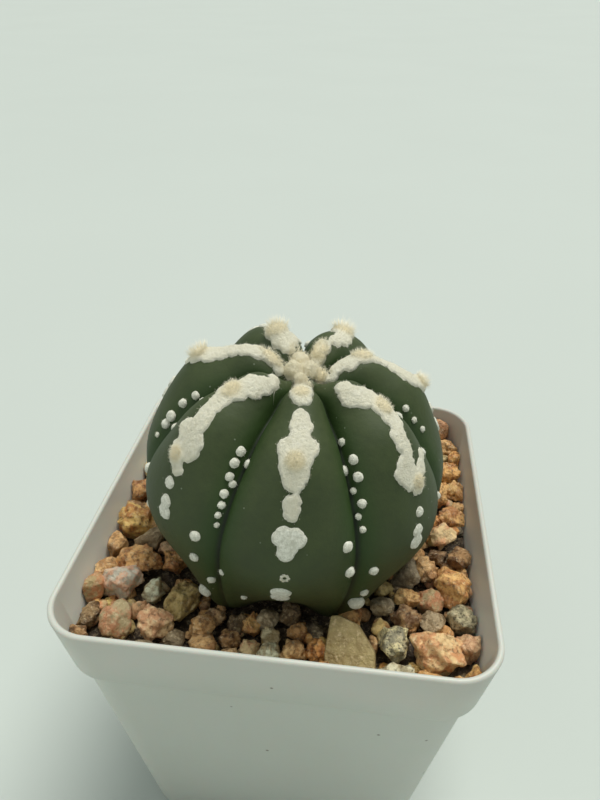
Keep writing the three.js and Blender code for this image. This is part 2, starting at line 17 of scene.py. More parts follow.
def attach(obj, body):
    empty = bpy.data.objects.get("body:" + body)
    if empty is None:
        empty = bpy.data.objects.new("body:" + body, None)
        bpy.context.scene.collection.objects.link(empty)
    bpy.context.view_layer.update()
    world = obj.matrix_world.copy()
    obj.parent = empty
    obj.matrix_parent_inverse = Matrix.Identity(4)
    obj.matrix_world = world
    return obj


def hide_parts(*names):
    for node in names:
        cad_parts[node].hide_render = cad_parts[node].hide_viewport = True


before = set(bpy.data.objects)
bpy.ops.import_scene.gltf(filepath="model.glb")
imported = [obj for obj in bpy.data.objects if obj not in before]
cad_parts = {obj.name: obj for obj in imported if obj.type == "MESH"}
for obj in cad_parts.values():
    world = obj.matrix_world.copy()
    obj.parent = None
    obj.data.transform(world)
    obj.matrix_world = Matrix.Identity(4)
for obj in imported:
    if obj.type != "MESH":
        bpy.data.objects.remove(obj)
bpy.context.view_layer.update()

bl_info = {
    "name": "Potted sand dollar cactus",
    "version": (1, 0, 0),
    "blender": (4, 5, 0),
    "location": "3D View > Sidebar > Cactus",
    "description": "Makes the fine pieces of a potted sand dollar cactus over its solids",
    "category": "Object",
}

# Sizes, in millimetres and degrees

MM = 0.001
FULL_TURN = 360

POT = {
    "height": 75,
    "rim_half": 40,
    "rim_corner": 8.9,
    "band_height": 13.5,
    "band_foot_half": 38.5,
    "body_top_half": 37.6,
    "body_corner": 9.5,
    "base_half": 30,
    "base_corner": 7.5,
    "base_round": 1.2,
    "wall": 1.2,
    "floor": 2,
    "drain_radius": 3,
    "drain_offset": 15,
    "corner_steps": 16,
    "foot_steps": 4,
    "lip_steps": 8,
    "sharp_angle": 32,
}
BAND_FOOT = POT["height"] - POT["band_height"]

# The plant is drawn around its heart, a point on its leaning axis.
HEART = np.array((0.7, -0.3, 91.4))
LEAN = np.array((0.075, -0.016, 1.0))
RIB_ANGLES = (-86, -35, 18, 71, 121, 170, 225)
CREST = (
    (-90, 62), (-88, 60), (-84, 46), (-80, 38.5), (-74, 34.5), (-66, 33.5), (-58, 35.2), (-50, 36.7),
    (-30, 33.4), (-10, 31.2), (10, 27.8), (30, 25.7), (45, 22.8), (60, 20.7), (75, 14.8), (90, 14.9),
)
GROOVE = ((-90, 0), (-50, 0), (-25, 0.03), (0, 0.09), (30, 0.22), (60, 0.21), (90, 0))
CREASE = 0.035
ROUNDNESS = 2.1
# The arch under each rib's foot: its share of the distance to the heart, and how narrow it is.
BASE_ARCHES = np.array(((0.135, 1.1), (0.1, 3), (0.1, 3), (0.1, 3), (0.1, 3), (0.1, 3), (0.1, 3)))

# Felt spots: (elevation, place across the rib from groove -1 to groove 1, radius), a row for each rib.
FELT = (
    ((66, 0, 1.6), (59.5, -0.07, 2), (55.5, 0, 1.6), (46.3, 0, 1.4), (42, 0.03, 2), (38, 0.03, 1.8),
     (33.5, -0.2, 1.7), (34, 0.22, 1.7), (29, -0.02, 2.8), (25, 0, 2.4), (22, 0, 1.8), (14.6, 0, 1.45),
     (12.6, 0, 1.45), (10.6, 0, 1.2)),
    ((60, -0.3, 1.6), (54, -0.33, 2.2), (51, -0.08, 2.3), (48, 0.22, 2), (43, 0.2, 2.4), (38, 0.15, 2.1),
     (34.5, 0.12, 1.7), (31, 0, 1.8), (27, 0, 1.6), (23.5, 0, 1.3), (20.5, -0.08, 1.8), (17, -0.2, 1.7),
     (14, -0.05, 2.3), (18, 0.38, 1.2), (15, 0.22, 1.6), (10.5, 0.03, 1.7)),
    ((75, -0.5, 1.1), (70, -0.62, 1.1), (77, -0.15, 1.5), (68, 0.07, 1.8), (64, -0.05, 2), (58, 0.15, 2.2),
     (52, 0.18, 2), (47, 0.12, 1.7), (42, 0, 1.7), (38, -0.12, 1.7), (33, -0.12, 1.9), (27, 0, 2.1)),
    ((76, 0.15, 1.2), (70, 0, 1.6), (65.5, -0.02, 1.6), (59, -0.35, 1.4), (54, -0.38, 1.7), (48, -0.25, 2),
     (42, -0.05, 2.5), (37, 0.05, 1.7)),
    ((66, 0.1, 1.6), (62.5, 0.4, 1.7), (63, -0.25, 1.7), (60, 0.15, 2), (56, 0.2, 2.3), (51, 0, 2.3), (46, 0, 1.7)),
    ((72, 0, 1.5), (67, -0.1, 1.9), (62, 0.1, 1.8), (57, 0.2, 1.6), (51.5, 0.18, 1.6), (46, 0.15, 1.9),
     (40, 0.12, 2.3), (34, 0.05, 2.3), (29, -0.05, 2)),
    ((65.5, 0.2, 1.2), (62.5, 0.5, 1.3), (57, 0.45, 1.9), (53, 0.35, 1.9), (54, 0.1, 1.9), (48, 0.07, 2.1),
     (45, -0.25, 1.9), (41, -0.05, 2), (37, -0.02, 1.8), (33, 0, 1.9), (29.5, 0.03, 1.8), (26.5, 0, 1.7),
     (23.5, -0.17, 1.9), (22, 0.15, 1.8), (18.5, 0.12, 2.1), (16, -0.1, 1.7), (13.5, -0.05, 1.9), (10.5, 0.05, 1.5)),
)
# The woolly points that the felt grows from: (rib, elevation, across, radius, height of their hairs).
TUFTS = (
    (4, 72, -0.45, 2.1, 2.2), (5, 81, -0.2, 1.9, 2.2), (3, 82, -0.52, 2, 2.2), (2, 77, -0.15, 1.5, 2),
    (0, 78, 0, 2.0, 1.4), (0, 59, -0.07, 1.5, 1.0), (0, 29, -0.02, 1.7, 1.2), (1, 43, 0.2, 1.9, 1.5),
    (1, 12, 0.03, 1.5, 1.3), (2, 58, 0.15, 1.8, 1.6), (2, 27, 0, 1.5, 2.6), (3, 67.5, 0, 1.8, 1.6),
    (3, 42, -0.05, 2.1, 3.4), (4, 56, 0.15, 2, 3.2), (5, 67, -0.1, 1.7, 1.6), (5, 34, 0.05, 1.8, 3),
    (6, 46, -0.08, 1.9, 1.5), (6, 14.5, -0.05, 1.5, 1.4),
)
# Spots that stand alone on the skin, a row for each rib, and the small ones beside the grooves.
FLECKS = (
    ((4.2, -0.07, 1.3), (2.4, -0.12, 1.3), (2.4, 0, 2), (2.2, 0.13, 1.3), (4, 0.08, 1.3), (-0.3, 0, 1.7),
     (-2.4, -0.02, 1.4), (-20, -0.03, 1.8), (-25, -0.03, 1.7)),
    ((1, -0.03, 0.9), (-5, -0.1, 1.2), (-9, -0.12, 1.5)),
    ((12, 0, 1.1), (4, -0.05, 1.5), (-9, 0, 1.2)),
    ((28, 0, 1.2), (18, 0, 1.7), (6, 0.05, 1.3), (-8, 0, 1.4)),
    ((36, 0, 1.3), (26, 0.05, 1.9), (12, 0, 1.2), (0, -0.05, 1.6), (-16, 0, 1.2)),
    ((14, 0.1, 1.3), (8, 0.12, 1.2), (-3, 0, 1.5), (-15, 0.1, 1.1)),
    ((4, 0.03, 1.1), (-2.5, 0.08, 1.2), (-6, 0.1, 1.4)),
)
DOTS_BY_RIB = {
    0: ((20, -0.97, 0.8), (-33, -0.6, 0.6), (21, 0.97, 0.9), (-3, 0.8, 1), (-13, 0.86, 1), (-20, -0.9, 0.6)),
    1: ((34, -0.93, 0.7), (26, -0.86, 0.9), (19, -0.86, 0.9), (13, -0.95, 0.6), (9, -0.88, 0.8),
        (4, -0.95, 0.6), (0, -0.92, 0.6), (-15, -0.78, 0.9), (-27, -0.8, 0.8), (-33, -0.85, 1.6)),
    2: ((29, -0.78, 0.7), (22, -0.8, 0.6), (16, -0.77, 0.6)),
    5: ((26, 0.85, 0.8), (19, 0.82, 0.9), (11, 0.83, 1.1), (7, 0.85, 1), (1, 0.85, 0.5)),
    6: ((25, 0.86, 0.9), (20, 0.85, 0.9), (14.5, 0.86, 0.8), (11.5, 0.93, 0.7), (8, 0.88, 0.8), (4, 0.9, 0.7),
        (0.5, 0.9, 0.6), (-3, 0.92, 0.5), (-8, 0.68, 1), (-17, 0.68, 0.9), (-27, 0.9, 0.8), (-36, 0.72, 1.4)),
}
HIDDEN_GROOVES = (1, 2, 3, 4, 5)
DOT_RULE = {"first": 29, "last": -26, "step": 18, "across": (0.8, 0.94), "radius": (0.7, 1.1)}
# The woolly balls in the crown: (x, y, radius, height).
CROWN_BALLS = (
    (0.5, 3.5, 1.9, 2.8), (-0.4, 0.4, 1.8, 2.5), (3.0, 0.7, 1.8, 2.5), (1.3, -1.9, 1.3, 1.5), (1.2, 1.0, 1.7, 1.6),
)
CROWN = {"above_heart": 14.2, "tuft": 0.5, "fineness": 4, "hair": (0.5, 1.1)}
# A loose fibre that hangs over a groove, from its root to its tip: (rib, elevation, across, height).
LOOSE_FIBRE = {"ends": ((6, 61.5, 0.7, 0.5), (6, 50, 0.94, 0.7)), "bend": (-0.5, 0, 0.6), "thickness": 2.5}
# A fleck in the form of a small ring of balls.
RING_FLECK = {"rib": 0, "elevation": -11, "across": 0, "radius": 0.6, "balls": 7, "ball_radius": 0.26}
# The balls that the small flecks are: height for their radius, and the share of their points with a hair.
DOT = {"height": 0.75, "hairs": 0.7, "fineness": 3}
BALL_LUMPS = ((1.3, 0.14), (4.5, 0.05))
# Flecks of a rib grow into one where their middles are nearer than this share of their radii.
GROWN_TOGETHER = 0.85
# The felt is laid out as if the crest were this far from the heart all along.
FLAT_RADIUS = 21
# How a patch is laid and thickened. "grow" and "ragged" move its outline, and "edge" is its round edge's width.
FELT_LOOK = {
    "margin": 0.8, "cell": 0.24, "rim": 0.6, "ragged": 0.3, "grow": 0.15, "edge": 0.32, "thickness": 0.36,
    "crown": 0.0, "set_in": 0.02, "root": 0.5, "highest": 84, "tufts": True,
}
FLECK_LOOK = dict(FELT_LOOK, cell=0.17, rim=0.4, ragged=0.16, grow=0.1, edge=0.35, crown=0.1, root=0.4, tufts=False)
# How a patch's edge points are pulled onto its outline.
TRIM = {"rounds": 3, "probe": 0.05, "most": 0.3, "least_slope": 0.3}
TUFT_DOME = 0.3
FELT_HAIR = {"rim_length": (0.12, 0.4), "length": (0.3, 0.7)}
FLECK_HAIR = {"rim_length": (0.12, 0.32), "length": (0.1, 0.3)}
HAIR = {
    "rim_out": (0.4, 1), "rim_up": (0.05, 0.45), "rim_wild": 0.25, "up": (0.35, 0.8), "wild": 0.7, "bend": 0.25,
    "sunk": 0.12, "thickness": (0.7, 1.2),
}
BRUSH = {
    "spread": 0.8, "highest": 86, "foot": 0.4, "lean": 0.55, "wild": 0.22, "length": (0.55, 1.0), "middle": 1.15,
    "bend": 0.12, "thickness": 1.1, "tuft": 0.85, "fade": 0.5,
}
# A hair's rings over its root: (height, thickness), as shares.
HAIR_RINGS = ((0.5, 0.75), (1.0, 0.0))
SKIN_GRID = {"per_rib": 40, "rows": 170, "poles": 89, "weld": 0.004}

# The bed under the stones. Its waves are (height, scale, layer of the noise).
BED = {
    "top_front": 63.6, "top_back": 66.8, "cells": 90, "under_top": 0.6, "waves": ((0.9, 0.5, 0), (0.4, 1.3, 9)),
    "skirt": 2.5,
}
GRIT = {
    "reach": 37, "room": -3, "length": (1.8, 3.4), "width": (0.7, 1), "thickness": (0.6, 0.9), "rise": 1.4,
    "fineness": 2, "rough": 0.16,
}
# Outstanding stones: (x, y, longest, middle, thickness, turn, kind).
PLACED_STONES = (
    (-13.5, -28, 5.2, 4.8, 4.3, 10, "tan"), (-11.7, -25.3, 4.4, 4.2, 4, 0, "brown"),
    (-7, -26.2, 4.6, 4.4, 4.3, 30, "dark"), (-4.5, -26.2, 5, 3.6, 4, 90, "golden"),
    (-1.6, -25, 4.6, 4.4, 4.2, 0, "grey"), (2.5, -23.5, 4.8, 4.4, 4.3, 60, "dark"),
    (-7.8, -30, 4.2, 4, 3.8, 0, "brown"), (-4, -31.4, 4.4, 4, 3.8, 20, "pink"),
    (-0.3, -32, 5, 4.4, 4.3, 40, "cream"), (-0.6, -28.2, 4, 3.8, 3.6, 0, "cream"),
    (4, -30.6, 5.6, 4.8, 4.7, 10, "tan"), (4.3, -26.6, 4.2, 4, 3.6, 0, "brown"),
    (7.5, -26, 4.2, 4, 3.6, 50, "dark"), (8.2, -30, 4.6, 4.2, 4, 20, "orange"),
    (-34, -4, 8.5, 8, 7, 0, "golden"), (-29.4, -8.6, 7.2, 6.2, 5.5, 30, "grey"),
    (-30, -14.8, 9.8, 6.5, 6, 10, "golden"), (-22.5, -14.5, 5.5, 5, 4.7, 0, "orange"),
    (-31.6, -20.3, 8.7, 8, 7.5, 20, "quartz"), (-36, -17.5, 6, 5.5, 5, 90, "tan"),
    (-25, -21, 5, 4.5, 4.3, 60, "cream"), (-18.6, -23.3, 9, 6, 6, 80, "yellow"),
    (-29.5, -29.1, 7.2, 6.6, 6.7, 60, "olive"), (-22.5, -28.7, 7, 6.8, 6.8, 40, "pink"),
    (-35.5, -27.9, 6.5, 4, 4.5, 90, "dark"), (-18.7, -30.3, 5, 4, 3.5, 0, "grey"),
    (30, -28.5, 9.5, 9, 8.5, 20, "pink"), (35.5, -26.5, 6.5, 6.5, 6, 70, "pink"),
    (35, 31.5, 6, 5.6, 4.5, 0, "golden"), (35, 21.5, 6, 5.6, 4.8, 40, "orange"),
    (35.5, 14.8, 5.5, 5.2, 4.5, 10, "tan"), (34.8, 6.2, 6.6, 6, 5.4, 0, "orange"),
    (32.2, 0.2, 6.4, 6, 5.4, 15, "pink"), (31, -4.8, 4.4, 3.6, 3.4, 0, "brown"),
    (35.4, -5.6, 5.6, 5.4, 5, 30, "brown"), (24.4, -10.8, 6.8, 6.4, 6, 50, "grey"),
    (28.4, -9.6, 5.8, 5, 4.8, 90, "tan"), (33.4, -13.6, 10, 7.8, 7.4, 100, "golden"),
    (24.6, -16.6, 5.2, 4.8, 4.5, 0, "tan"), (24.4, -21.4, 6.2, 5.2, 5, 10, "brown"),
    (29, -17, 5.6, 5.4, 5.1, 20, "olive"), (29.4, -21.6, 5.4, 4.8, 4.5, 60, "grey"),
    (35, -20.6, 6.2, 5.4, 5.2, 0, "green"), (22, -27.6, 7.8, 6, 6, 90, "speckled"),
    (19.8, -19.4, 5, 4.8, 4.4, 40, "grey"),
)
SLAB_PLACE = (14, -30, 10.5, 9.5, 8, 60)
# The slab's outline, across and up its leaning face, and how the face lies.
SLAB = {
    "middle": (14.3, -31.2, 67.6),
    "facing": (-0.12, -0.62, 0.78),
    "outline": ((-4.9, 5.2), (-3.6, 5.6), (0.2, 4.9), (4.2, 1.0), (5.7, -5.6), (-3.2, -5.6), (-4.6, -1.5)),
    "thickness": 3.4,
    "bevel": 0.35,
    "bevel_steps": 3,
    "longest_edge": 1.2,
    "wave": (0.16, 0.5),
}
STONES = {
    "rounds": ((400, 6, 7.8), (1200, 4.6, 6), (700, 3.6, 4.5)),
    "spread": 0.76,
    "flatness": (0.7, 0.95),
    "sunk": 0.38,
    "lift": 0.5,
    "tuck": 2.6,
    "wall_margin": 1.4,
    "corner_round": 8,
    "tilt": 25,
    "smooth_kinds": ("olive", "grey"),
    "smooth": 0.14,
    "rough": 0.24,
}
# How a stone is broken: its flat sides, and its lumps and chips as (scale of the noise, share).
BREAKING = {
    "sides": 13,
    "depth": (0.58, 0.9),
    "wear": 0.3,
    "lumps": ((1.7, 1), (3.9, 0.5)),
    "chips": ((3.1, 1), (7, 0.6)),
    "chipping": 0.9,
}
SHADE = (1.08, 1.34)
WARMTH = 6
# The stones' kinds: the ground colour, the colour of its veins and patches, and how much dark grain it has.
STONE_KINDS = {
    "golden": ((206, 160, 100), (150, 96, 50), 0.4),
    "tan": ((190, 152, 102), (138, 98, 58), 0.35),
    "orange": ((196, 146, 88), (140, 88, 48), 0.45),
    "pink": ((202, 164, 122), (170, 120, 84), 0.35),
    "yellow": ((192, 170, 112), (150, 122, 72), 0.4),
    "cream": ((205, 196, 162), (140, 122, 86), 0.35),
    "quartz": ((178, 168, 148), (206, 152, 116), 0.3),
    "grey": ((150, 136, 110), (104, 88, 64), 0.35),
    "olive": ((160, 142, 104), (176, 118, 82), 0.15),
    "green": ((150, 145, 118), (92, 90, 72), 0.5),
    "speckled": ((206, 186, 140), (104, 100, 84), 0.6),
    "brown": ((158, 122, 80), (100, 68, 40), 0.4),
    "dark": ((112, 94, 68), (72, 56, 38), 0.4),
    "slab": ((146, 133, 94), (132, 118, 82), 0.08),
}
COMMON_KINDS = (
    "golden", "golden", "tan", "tan", "orange", "brown", "brown", "grey", "dark", "pink", "yellow", "yellow", "olive",
    "cream",
)

# The stage, in metres, with its lights as (where it comes from, angle it fills, colour).
STAGE = {"floor_half": 40, "room_colour": (0.86, 0.93, 0.9, 1), "sensor_width": 36, "nearest": 0.005}
LIGHTS = {
    "window": ((0.2, 0.3, 1.0), 35, (1.0, 0.99, 0.95)),
    "fill": ((-0.8, -0.6, 0.7), 60, (0.97, 1.0, 0.97)),
}
CAMERA = {"place": (12.86, -105.9, 170.05), "yaw": -0.1111, "pitch": 0.5821, "roll": 0.0163, "lens": 29.84}


# Small helpers


def unit(v):
    return v / np.linalg.norm(v, axis=-1, keepdims=True)


def paint(red, green, blue):
    """A screen colour, 0 to 255 a channel, as the linear colour that a shader takes."""
    return tuple(
        c / 12.92 if c <= 0.04045 else ((c + 0.055) / 1.055) ** 2.4 for c in (red / 255, green / 255, blue / 255)
    ) + (1.0,)


def through(table, x):
    """A smooth curve through a table of (x, y) pairs, held level beyond its ends."""
    xs, ys = np.array(table, float).T
    slope = np.empty_like(ys)
    slope[1:-1] = (ys[2:] - ys[:-2]) / (xs[2:] - xs[:-2])
    slope[0] = (ys[1] - ys[0]) / (xs[1] - xs[0])
    slope[-1] = (ys[-1] - ys[-2]) / (xs[-1] - xs[-2])
    at = np.clip(x, xs[0], xs[-1])
    k = np.clip(np.searchsorted(xs, at, side="left") - 1, 0, len(xs) - 2)
    span = xs[k + 1] - xs[k]
    t = (at - xs[k]) / span
    return (
        ys[k] * (2 * t**3 - 3 * t**2 + 1)
        + slope[k] * span * (t**3 - 2 * t**2 + t)
        + ys[k + 1] * (3 * t**2 - 2 * t**3)
        + slope[k + 1] * span * (t**3 - t**2)
    )


def tinted(colour, *shares):
    """A colour with its three channels multiplied."""
    return tuple(c * k for c, k in zip(colour, (*shares, 1)))


def repeatable(seed):
    """The solids' own source of numbers between two others, so that what they place by chance lands as there."""
    state = seed

    def between(low, high):
        nonlocal state
        state = (state * 1664525 + 1013904223) % 2**32
        return low + (high - low) * (state / 2**32)

    return between


def grain(points, scale, seed):
    """Smooth noise from about -1 to 1 at each of some points."""
    shift = Vector((seed * 7.31, seed * 3.77, seed * 5.13))
    return np.array([noise.noise(Vector(p) * scale + shift) for p in points])


# The plant's surface

AXIS_Z = unit(LEAN)
AXIS_X = unit(np.array((1.0, 0, 0)) - AXIS_Z * AXIS_Z[0])
AXIS_Y = np.cross(AXIS_Z, AXIS_X)
RIBS_ROUND = np.array([*RIB_ANGLES, RIB_ANGLES[0] + FULL_TURN], float)


def rib_place(azimuth):
    """The rib that each azimuth is on, and how far it lies from the crest, from 0 there to 1 in the groove."""
    turned = (np.asarray(azimuth, float) - RIB_ANGLES[0]) % FULL_TURN + RIB_ANGLES[0]
    k = np.clip(np.searchsorted(RIBS_ROUND, turned, side="right") - 1, 0, len(RIB_ANGLES) - 1)
    share = 2 * (turned - RIBS_ROUND[k]) / (RIBS_ROUND[k + 1] - RIBS_ROUND[k])
    return np.where(share <= 1, k, (k + 1) % len(RIB_ANGLES)), np.where(share <= 1, share, 2 - share)


def ramp(x, a, b):
    return np.clip((x - a) / (b - a), 0, 1)


def skin(azimuth, elevation, grown=0.0):
    """Points of the skin, or of a skin that is larger by a distance."""
    rib, across = rib_place(azimuth)
    sink = through(GROOVE, elevation) * across**ROUNDNESS
    crease = CREASE * ramp(across, 0.8, 1) ** 2 * ramp(elevation, -60, -40) * ramp(elevation, 88, 68)
    underside = ramp(elevation, -12, -45) ** 1.5 * ramp(elevation, -70, -50)
    arch, narrowness = BASE_ARCHES[rib].T
    hollow = arch * underside * (1 - across**2) ** narrowness
    distance = through(CREST, elevation) * (1 - sink - crease - hollow) + grown
    turn, rise = np.radians(azimuth), np.radians(elevation)
    out = (np.cos(rise) * np.cos(turn))[:, None] * AXIS_X + (np.cos(rise) * np.sin(turn))[:, None] * AXIS_Y
    return HEART + distance[:, None] * (out + np.sin(rise)[:, None] * AXIS_Z)


def skin_normals(azimuth, elevation):
    here = skin(azimuth, elevation)
    aside = skin(azimuth + 0.4, elevation) - skin(azimuth - 0.4, elevation)
    above = skin(azimuth, elevation + 0.4) - skin(azimuth, elevation - 0.4)
    made = unit(np.cross(aside, above))
    return np.where(((here - HEART) * made).sum(1)[:, None] < 0, -made, made)


def rib_gap(rib, side):
    """The angle from a rib's crest to the next one on that side."""
    first = rib if side >= 0 else (rib or len(RIB_ANGLES)) - 1
    return RIBS_ROUND[first + 1] - RIBS_ROUND[first]


def girth(elevation):
    """How far the crests stand out from the axis at an elevation."""
    return through(CREST, elevation) * np.cos(np.radians(elevation))


def half_width(rib, side, elevation):
    """Half a rib's width in millimetres at an elevation, from its crest to the groove on one side."""
    return math.radians(rib_gap(rib, side) / 2) * girth(elevation)


def azimuth_beside(rib, offset, elevation):
    """The azimuth of points that lie some millimetres to the side of a rib's crest."""
    return RIB_ANGLES[rib] + np.degrees(offset / girth(elevation))


def spot_middle(rib, elevation, across):
    return across * float(half_width(rib, math.copysign(1, across) if across else 1, elevation))


def spot_angles(rib, elevation, across):
    """The azimuth and elevation of a spot's middle."""
    level = np.array([float(elevation)])
    return azimuth_beside(rib, spot_middle(rib, elevation, across), level), level


def spot_point(rib, elevation, across):
    """The point of the skin at a spot's middle."""
    return skin(*spot_angles(rib, elevation, across))[0]


def dot_places():
    """The small flecks beside the grooves: (rib, across, elevation, radius)."""
    places = [(rib, a, e, r) for rib, dots in DOTS_BY_RIB.items() for e, a, r in dots]
    between = repeatable(7)
    for groove in HIDDEN_GROOVES:
        for side in (1, -1):
            rib = groove if side > 0 else (groove + 1) % len(RIB_ANGLES)
            if any(math.copysign(1, across) == side for _, across, _ in DOTS_BY_RIB.get(rib, ())):
                continue
            e = DOT_RULE["first"]
            while e >= DOT_RULE["last"]:
                across = side * between(*DOT_RULE["across"])
                place = e + between(-2, 2)
                places.append((rib, across, place, between(*DOT_RULE["radius"])))
                e -= DOT_RULE["step"]
    return places


def ring_places():
    """The balls of the fleck that is a small ring, as dots: (rib, across, elevation, radius)."""
    rib, e, across, size = (RING_FLECK[key] for key in ("rib", "elevation", "across", "radius"))
    places = []
    for turn in np.linspace(0, math.tau, RING_FLECK["balls"], endpoint=False):
        beside = across + size * math.cos(turn) / float(half_width(rib, 1, e))
        above = e + math.degrees(size * math.sin(turn) / float(through(CREST, e)))
        places.append((rib, beside, above, RING_FLECK["ball_radius"]))
    return places


# Shaders


class Signal:
    """A value that runs through a material's nodes. A sum on it adds the Math node that works it out."""

    def __init__(self, recipe, socket):
        self.recipe = recipe
        self.socket = socket

    def _sum(self, operation, first, second):
        return self.recipe.add("Math", {"operation": operation}, {0: first, 1: second})

    def __add__(self, other):
        return self._sum("ADD", self, other)

    def __radd__(self, other):
        return self._sum("ADD", other, self)

    def __sub__(self, other):
        return self._sum("SUBTRACT", self, other)

    def __rsub__(self, other):
        return self._sum("SUBTRACT", other, self)

    def __mul__(self, other):
        return self._sum("MULTIPLY", self, other)

    def __rmul__(self, other):
        return self._sum("MULTIPLY", other, self)

    def above(self, low, high):
        """0 where the value is under low, 1 where it is over high, and smooth between."""
        values = {"Value": self, "From Min": low, "From Max": high}
        return self.recipe.add("MapRange", {"interpolation_type": "SMOOTHSTEP"}, values)


class Recipe:
    """One material and its nodes, with the object's own coordinates in metres as `place`."""

    def __init__(self, name):
        self.material = bpy.data.materials.new(name)
        self.material.use_nodes = True
        self.tree = self.material.node_tree
        self.tree.nodes.clear()
        self.place = self.add("TexCoord", output="Object")

    def add(self, kind, settings=None, values=None, output=0):
        """Adds a node of a type, with its settings and then its sockets' values or links."""
        node = self.tree.nodes.new("ShaderNode" + kind)
        for key, value in (settings or {}).items():
            setattr(node, key, value)
        for key, value in (values or {}).items():
            if isinstance(value, Signal):
                self.tree.links.new(value.socket, node.inputs[key])
            else:
                node.inputs[key].default_value = value
        return Signal(self, node.outputs[output])

    def grains(self, size, detail=3.0, roughness=0.55):
        """Noise whose features are about a size in metres."""
        values = {"Vector": self.place, "Scale": 1 / size, "Detail": detail, "Roughness": roughness}
        return self.add("TexNoise", None, values)

    def specks(self, size):
        """The distance to scattered points, 0 at each, about a size in metres apart."""
        return self.add("TexVoronoi", {"feature": "F1"}, {"Vector": self.place, "Scale": 1 / size}, "Distance")

    def mix(self, share, first, second):
        """A colour between two colours."""
        return self.add("Mix", {"data_type": "RGBA"}, {0: share, 6: first, 7: second}, 2)

    def attribute(self, name, output="Fac"):
        return self.add("Attribute", {"attribute_name": name}, None, output)

    def bump(self, height, distance, strength=1.0):
        return self.add("Bump", None, {"Strength": strength, "Distance": distance, "Height": height})

    def finish(self, colour, roughness, normal=None, **constants):
        """Ends the recipe in the one surface shader."""
        values = {"Base Color": colour, "Roughness": roughness}
        if normal is not None:
            values["Normal"] = normal
        values.update({key.replace("_", " "): value for key, value in constants.items()})
        surface = self.add("BsdfPrincipled", None, values)
        output = self.tree.nodes.new("ShaderNodeOutputMaterial")
        self.tree.links.new(surface.socket, output.inputs["Surface"])
        return self.material


def plastic_finish(colour):
    """Moulded white plastic, a little uneven in tone, with a soft sheen and faint water marks."""
    r = Recipe("pot_plastic")
    cloud = r.grains(0.03, 2)
    marks = r.grains(0.006, 5, 0.7).above(0.58, 0.75)
    ground = r.mix(cloud, colour, tinted(colour, 0.93, 0.93, 0.91))
    ground = r.mix(marks * 0.25, ground, paint(205, 203, 190))
    dirt = 1 - r.specks(0.011).above(0.018, 0.04)
    ground = r.mix(dirt * 0.8, ground, paint(86, 74, 58))
    rough = 0.36 + 0.12 * r.grains(0.004, 4) + 0.1 * marks
    height = r.grains(0.0009, 3) * 0.6 + r.grains(0.012, 2)
    return r.finish(ground, rough, r.bump(height, 0.00006, 0.5), Subsurface_Weight=0.12, Subsurface_Scale=0.004)


def soil_finish():
    """Dark gritty potting mix."""
    r = Recipe("potting_mix")
    lumps = r.grains(0.003, 5, 0.65)
    grit = 1 - r.specks(0.0016).above(0.15, 0.5)
    ground = r.mix(lumps.above(0.35, 0.65), paint(46, 36, 28), paint(96, 76, 56))
    ground = r.mix(grit * 0.5, ground, paint(168, 150, 122))
    return r.finish(ground, 0.95 - 0.15 * grit, r.bump(lumps + grit * 0.4, 0.0006, 0.9))


def stone_finish():
    """Broken gravel: each stone has its own ground and vein colours, with dark grains, pale crystals and pits."""
    r = Recipe("gravel_stone")
    ground, vein = r.attribute("ground", "Color"), r.attribute("vein", "Color")
    dark_share = r.attribute("dark")
    warp = r.grains(0.004, 4, 0.6)
    bands = r.grains(0.0022, 5, 0.68)
    patches = (bands + warp * 0.5).above(0.66, 0.84)
    colour = r.mix(patches * 0.85, ground, vein)
    crystals = r.grains(0.0009, 5, 0.8)
    colour = r.mix(crystals.above(0.53, 0.64) * 0.55, colour, paint(244, 222, 180))
    dark = (r.grains(0.001, 5, 0.85).above(0.53, 0.62) * dark_share * 1.3).above(0, 1)
    colour = r.mix(dark, colour, paint(66, 52, 36))
    pits = r.grains(0.0007, 5, 0.7)
    height = pits * 0.55 + bands * 0.9 - dark * 0.3
    facets = r.specks(0.0013)
    height = height + facets * 0.5
    rough = 0.4 - 0.26 * crystals.above(0.48, 0.66) + 0.15 * pits
    return r.finish(colour, rough, r.bump(height, 0.0009, 0.9), Specular_IOR_Level=0.6)


def skin_finish(colour):
    """Dark green waxy skin: paler in clouds, olive low down, a deeper green towards the grooves that is partly its
    own green and partly painted shade, painted shade almost black along each crease, with fine pale points.
    """
    r = Recipe("cactus_skin")
    groove, rise = r.attribute("groove"), r.attribute("rise")
    cloud = r.grains(0.009, 4, 0.6)
    fine = r.grains(0.0011, 4, 0.6)
    bloom = tinted(colour, 1.6, 1.5, 1.5)
    # Painted shade, in part: towards the grooves the skin turns a deeper, more saturated green; part of this is the
    # skin's own green.
    groove_green_and_shade = tinted(colour, 0.55, 0.95, 0.35)
    ground = r.mix((cloud * 0.75 + fine * 0.4).above(0.36, 0.85) * 0.75, colour, bloom)
    ground = r.mix(groove.above(0.55, 0.98) * 0.85, ground, groove_green_and_shade)
    # Painted shade: the crease along each groove is painted almost black.
    ground = r.mix(groove.above(0.93, 1.0) * 0.8, ground, paint(10, 16, 8))
    low = 1 - rise.above(0.26, 0.42)
    ground = r.mix(low * 0.55, ground, paint(74, 76, 44))
    points = 1 - r.specks(0.0026).above(0.03, 0.08)
    ground = r.mix(points * 0.5, ground, paint(150, 160, 138))
    scars = r.grains(0.0034, 6, 0.75).above(0.66, 0.74)
    ground = r.mix(scars * 0.16, ground, paint(130, 132, 106))
    rough = 0.5 + 0.14 * fine + 0.1 * cloud
    height = fine * 0.5 + points * 0.3 + r.grains(0.005, 3) * 0.8
    return r.finish(ground, rough, r.bump(height, 0.00022, 0.6), Specular_IOR_Level=0.4)


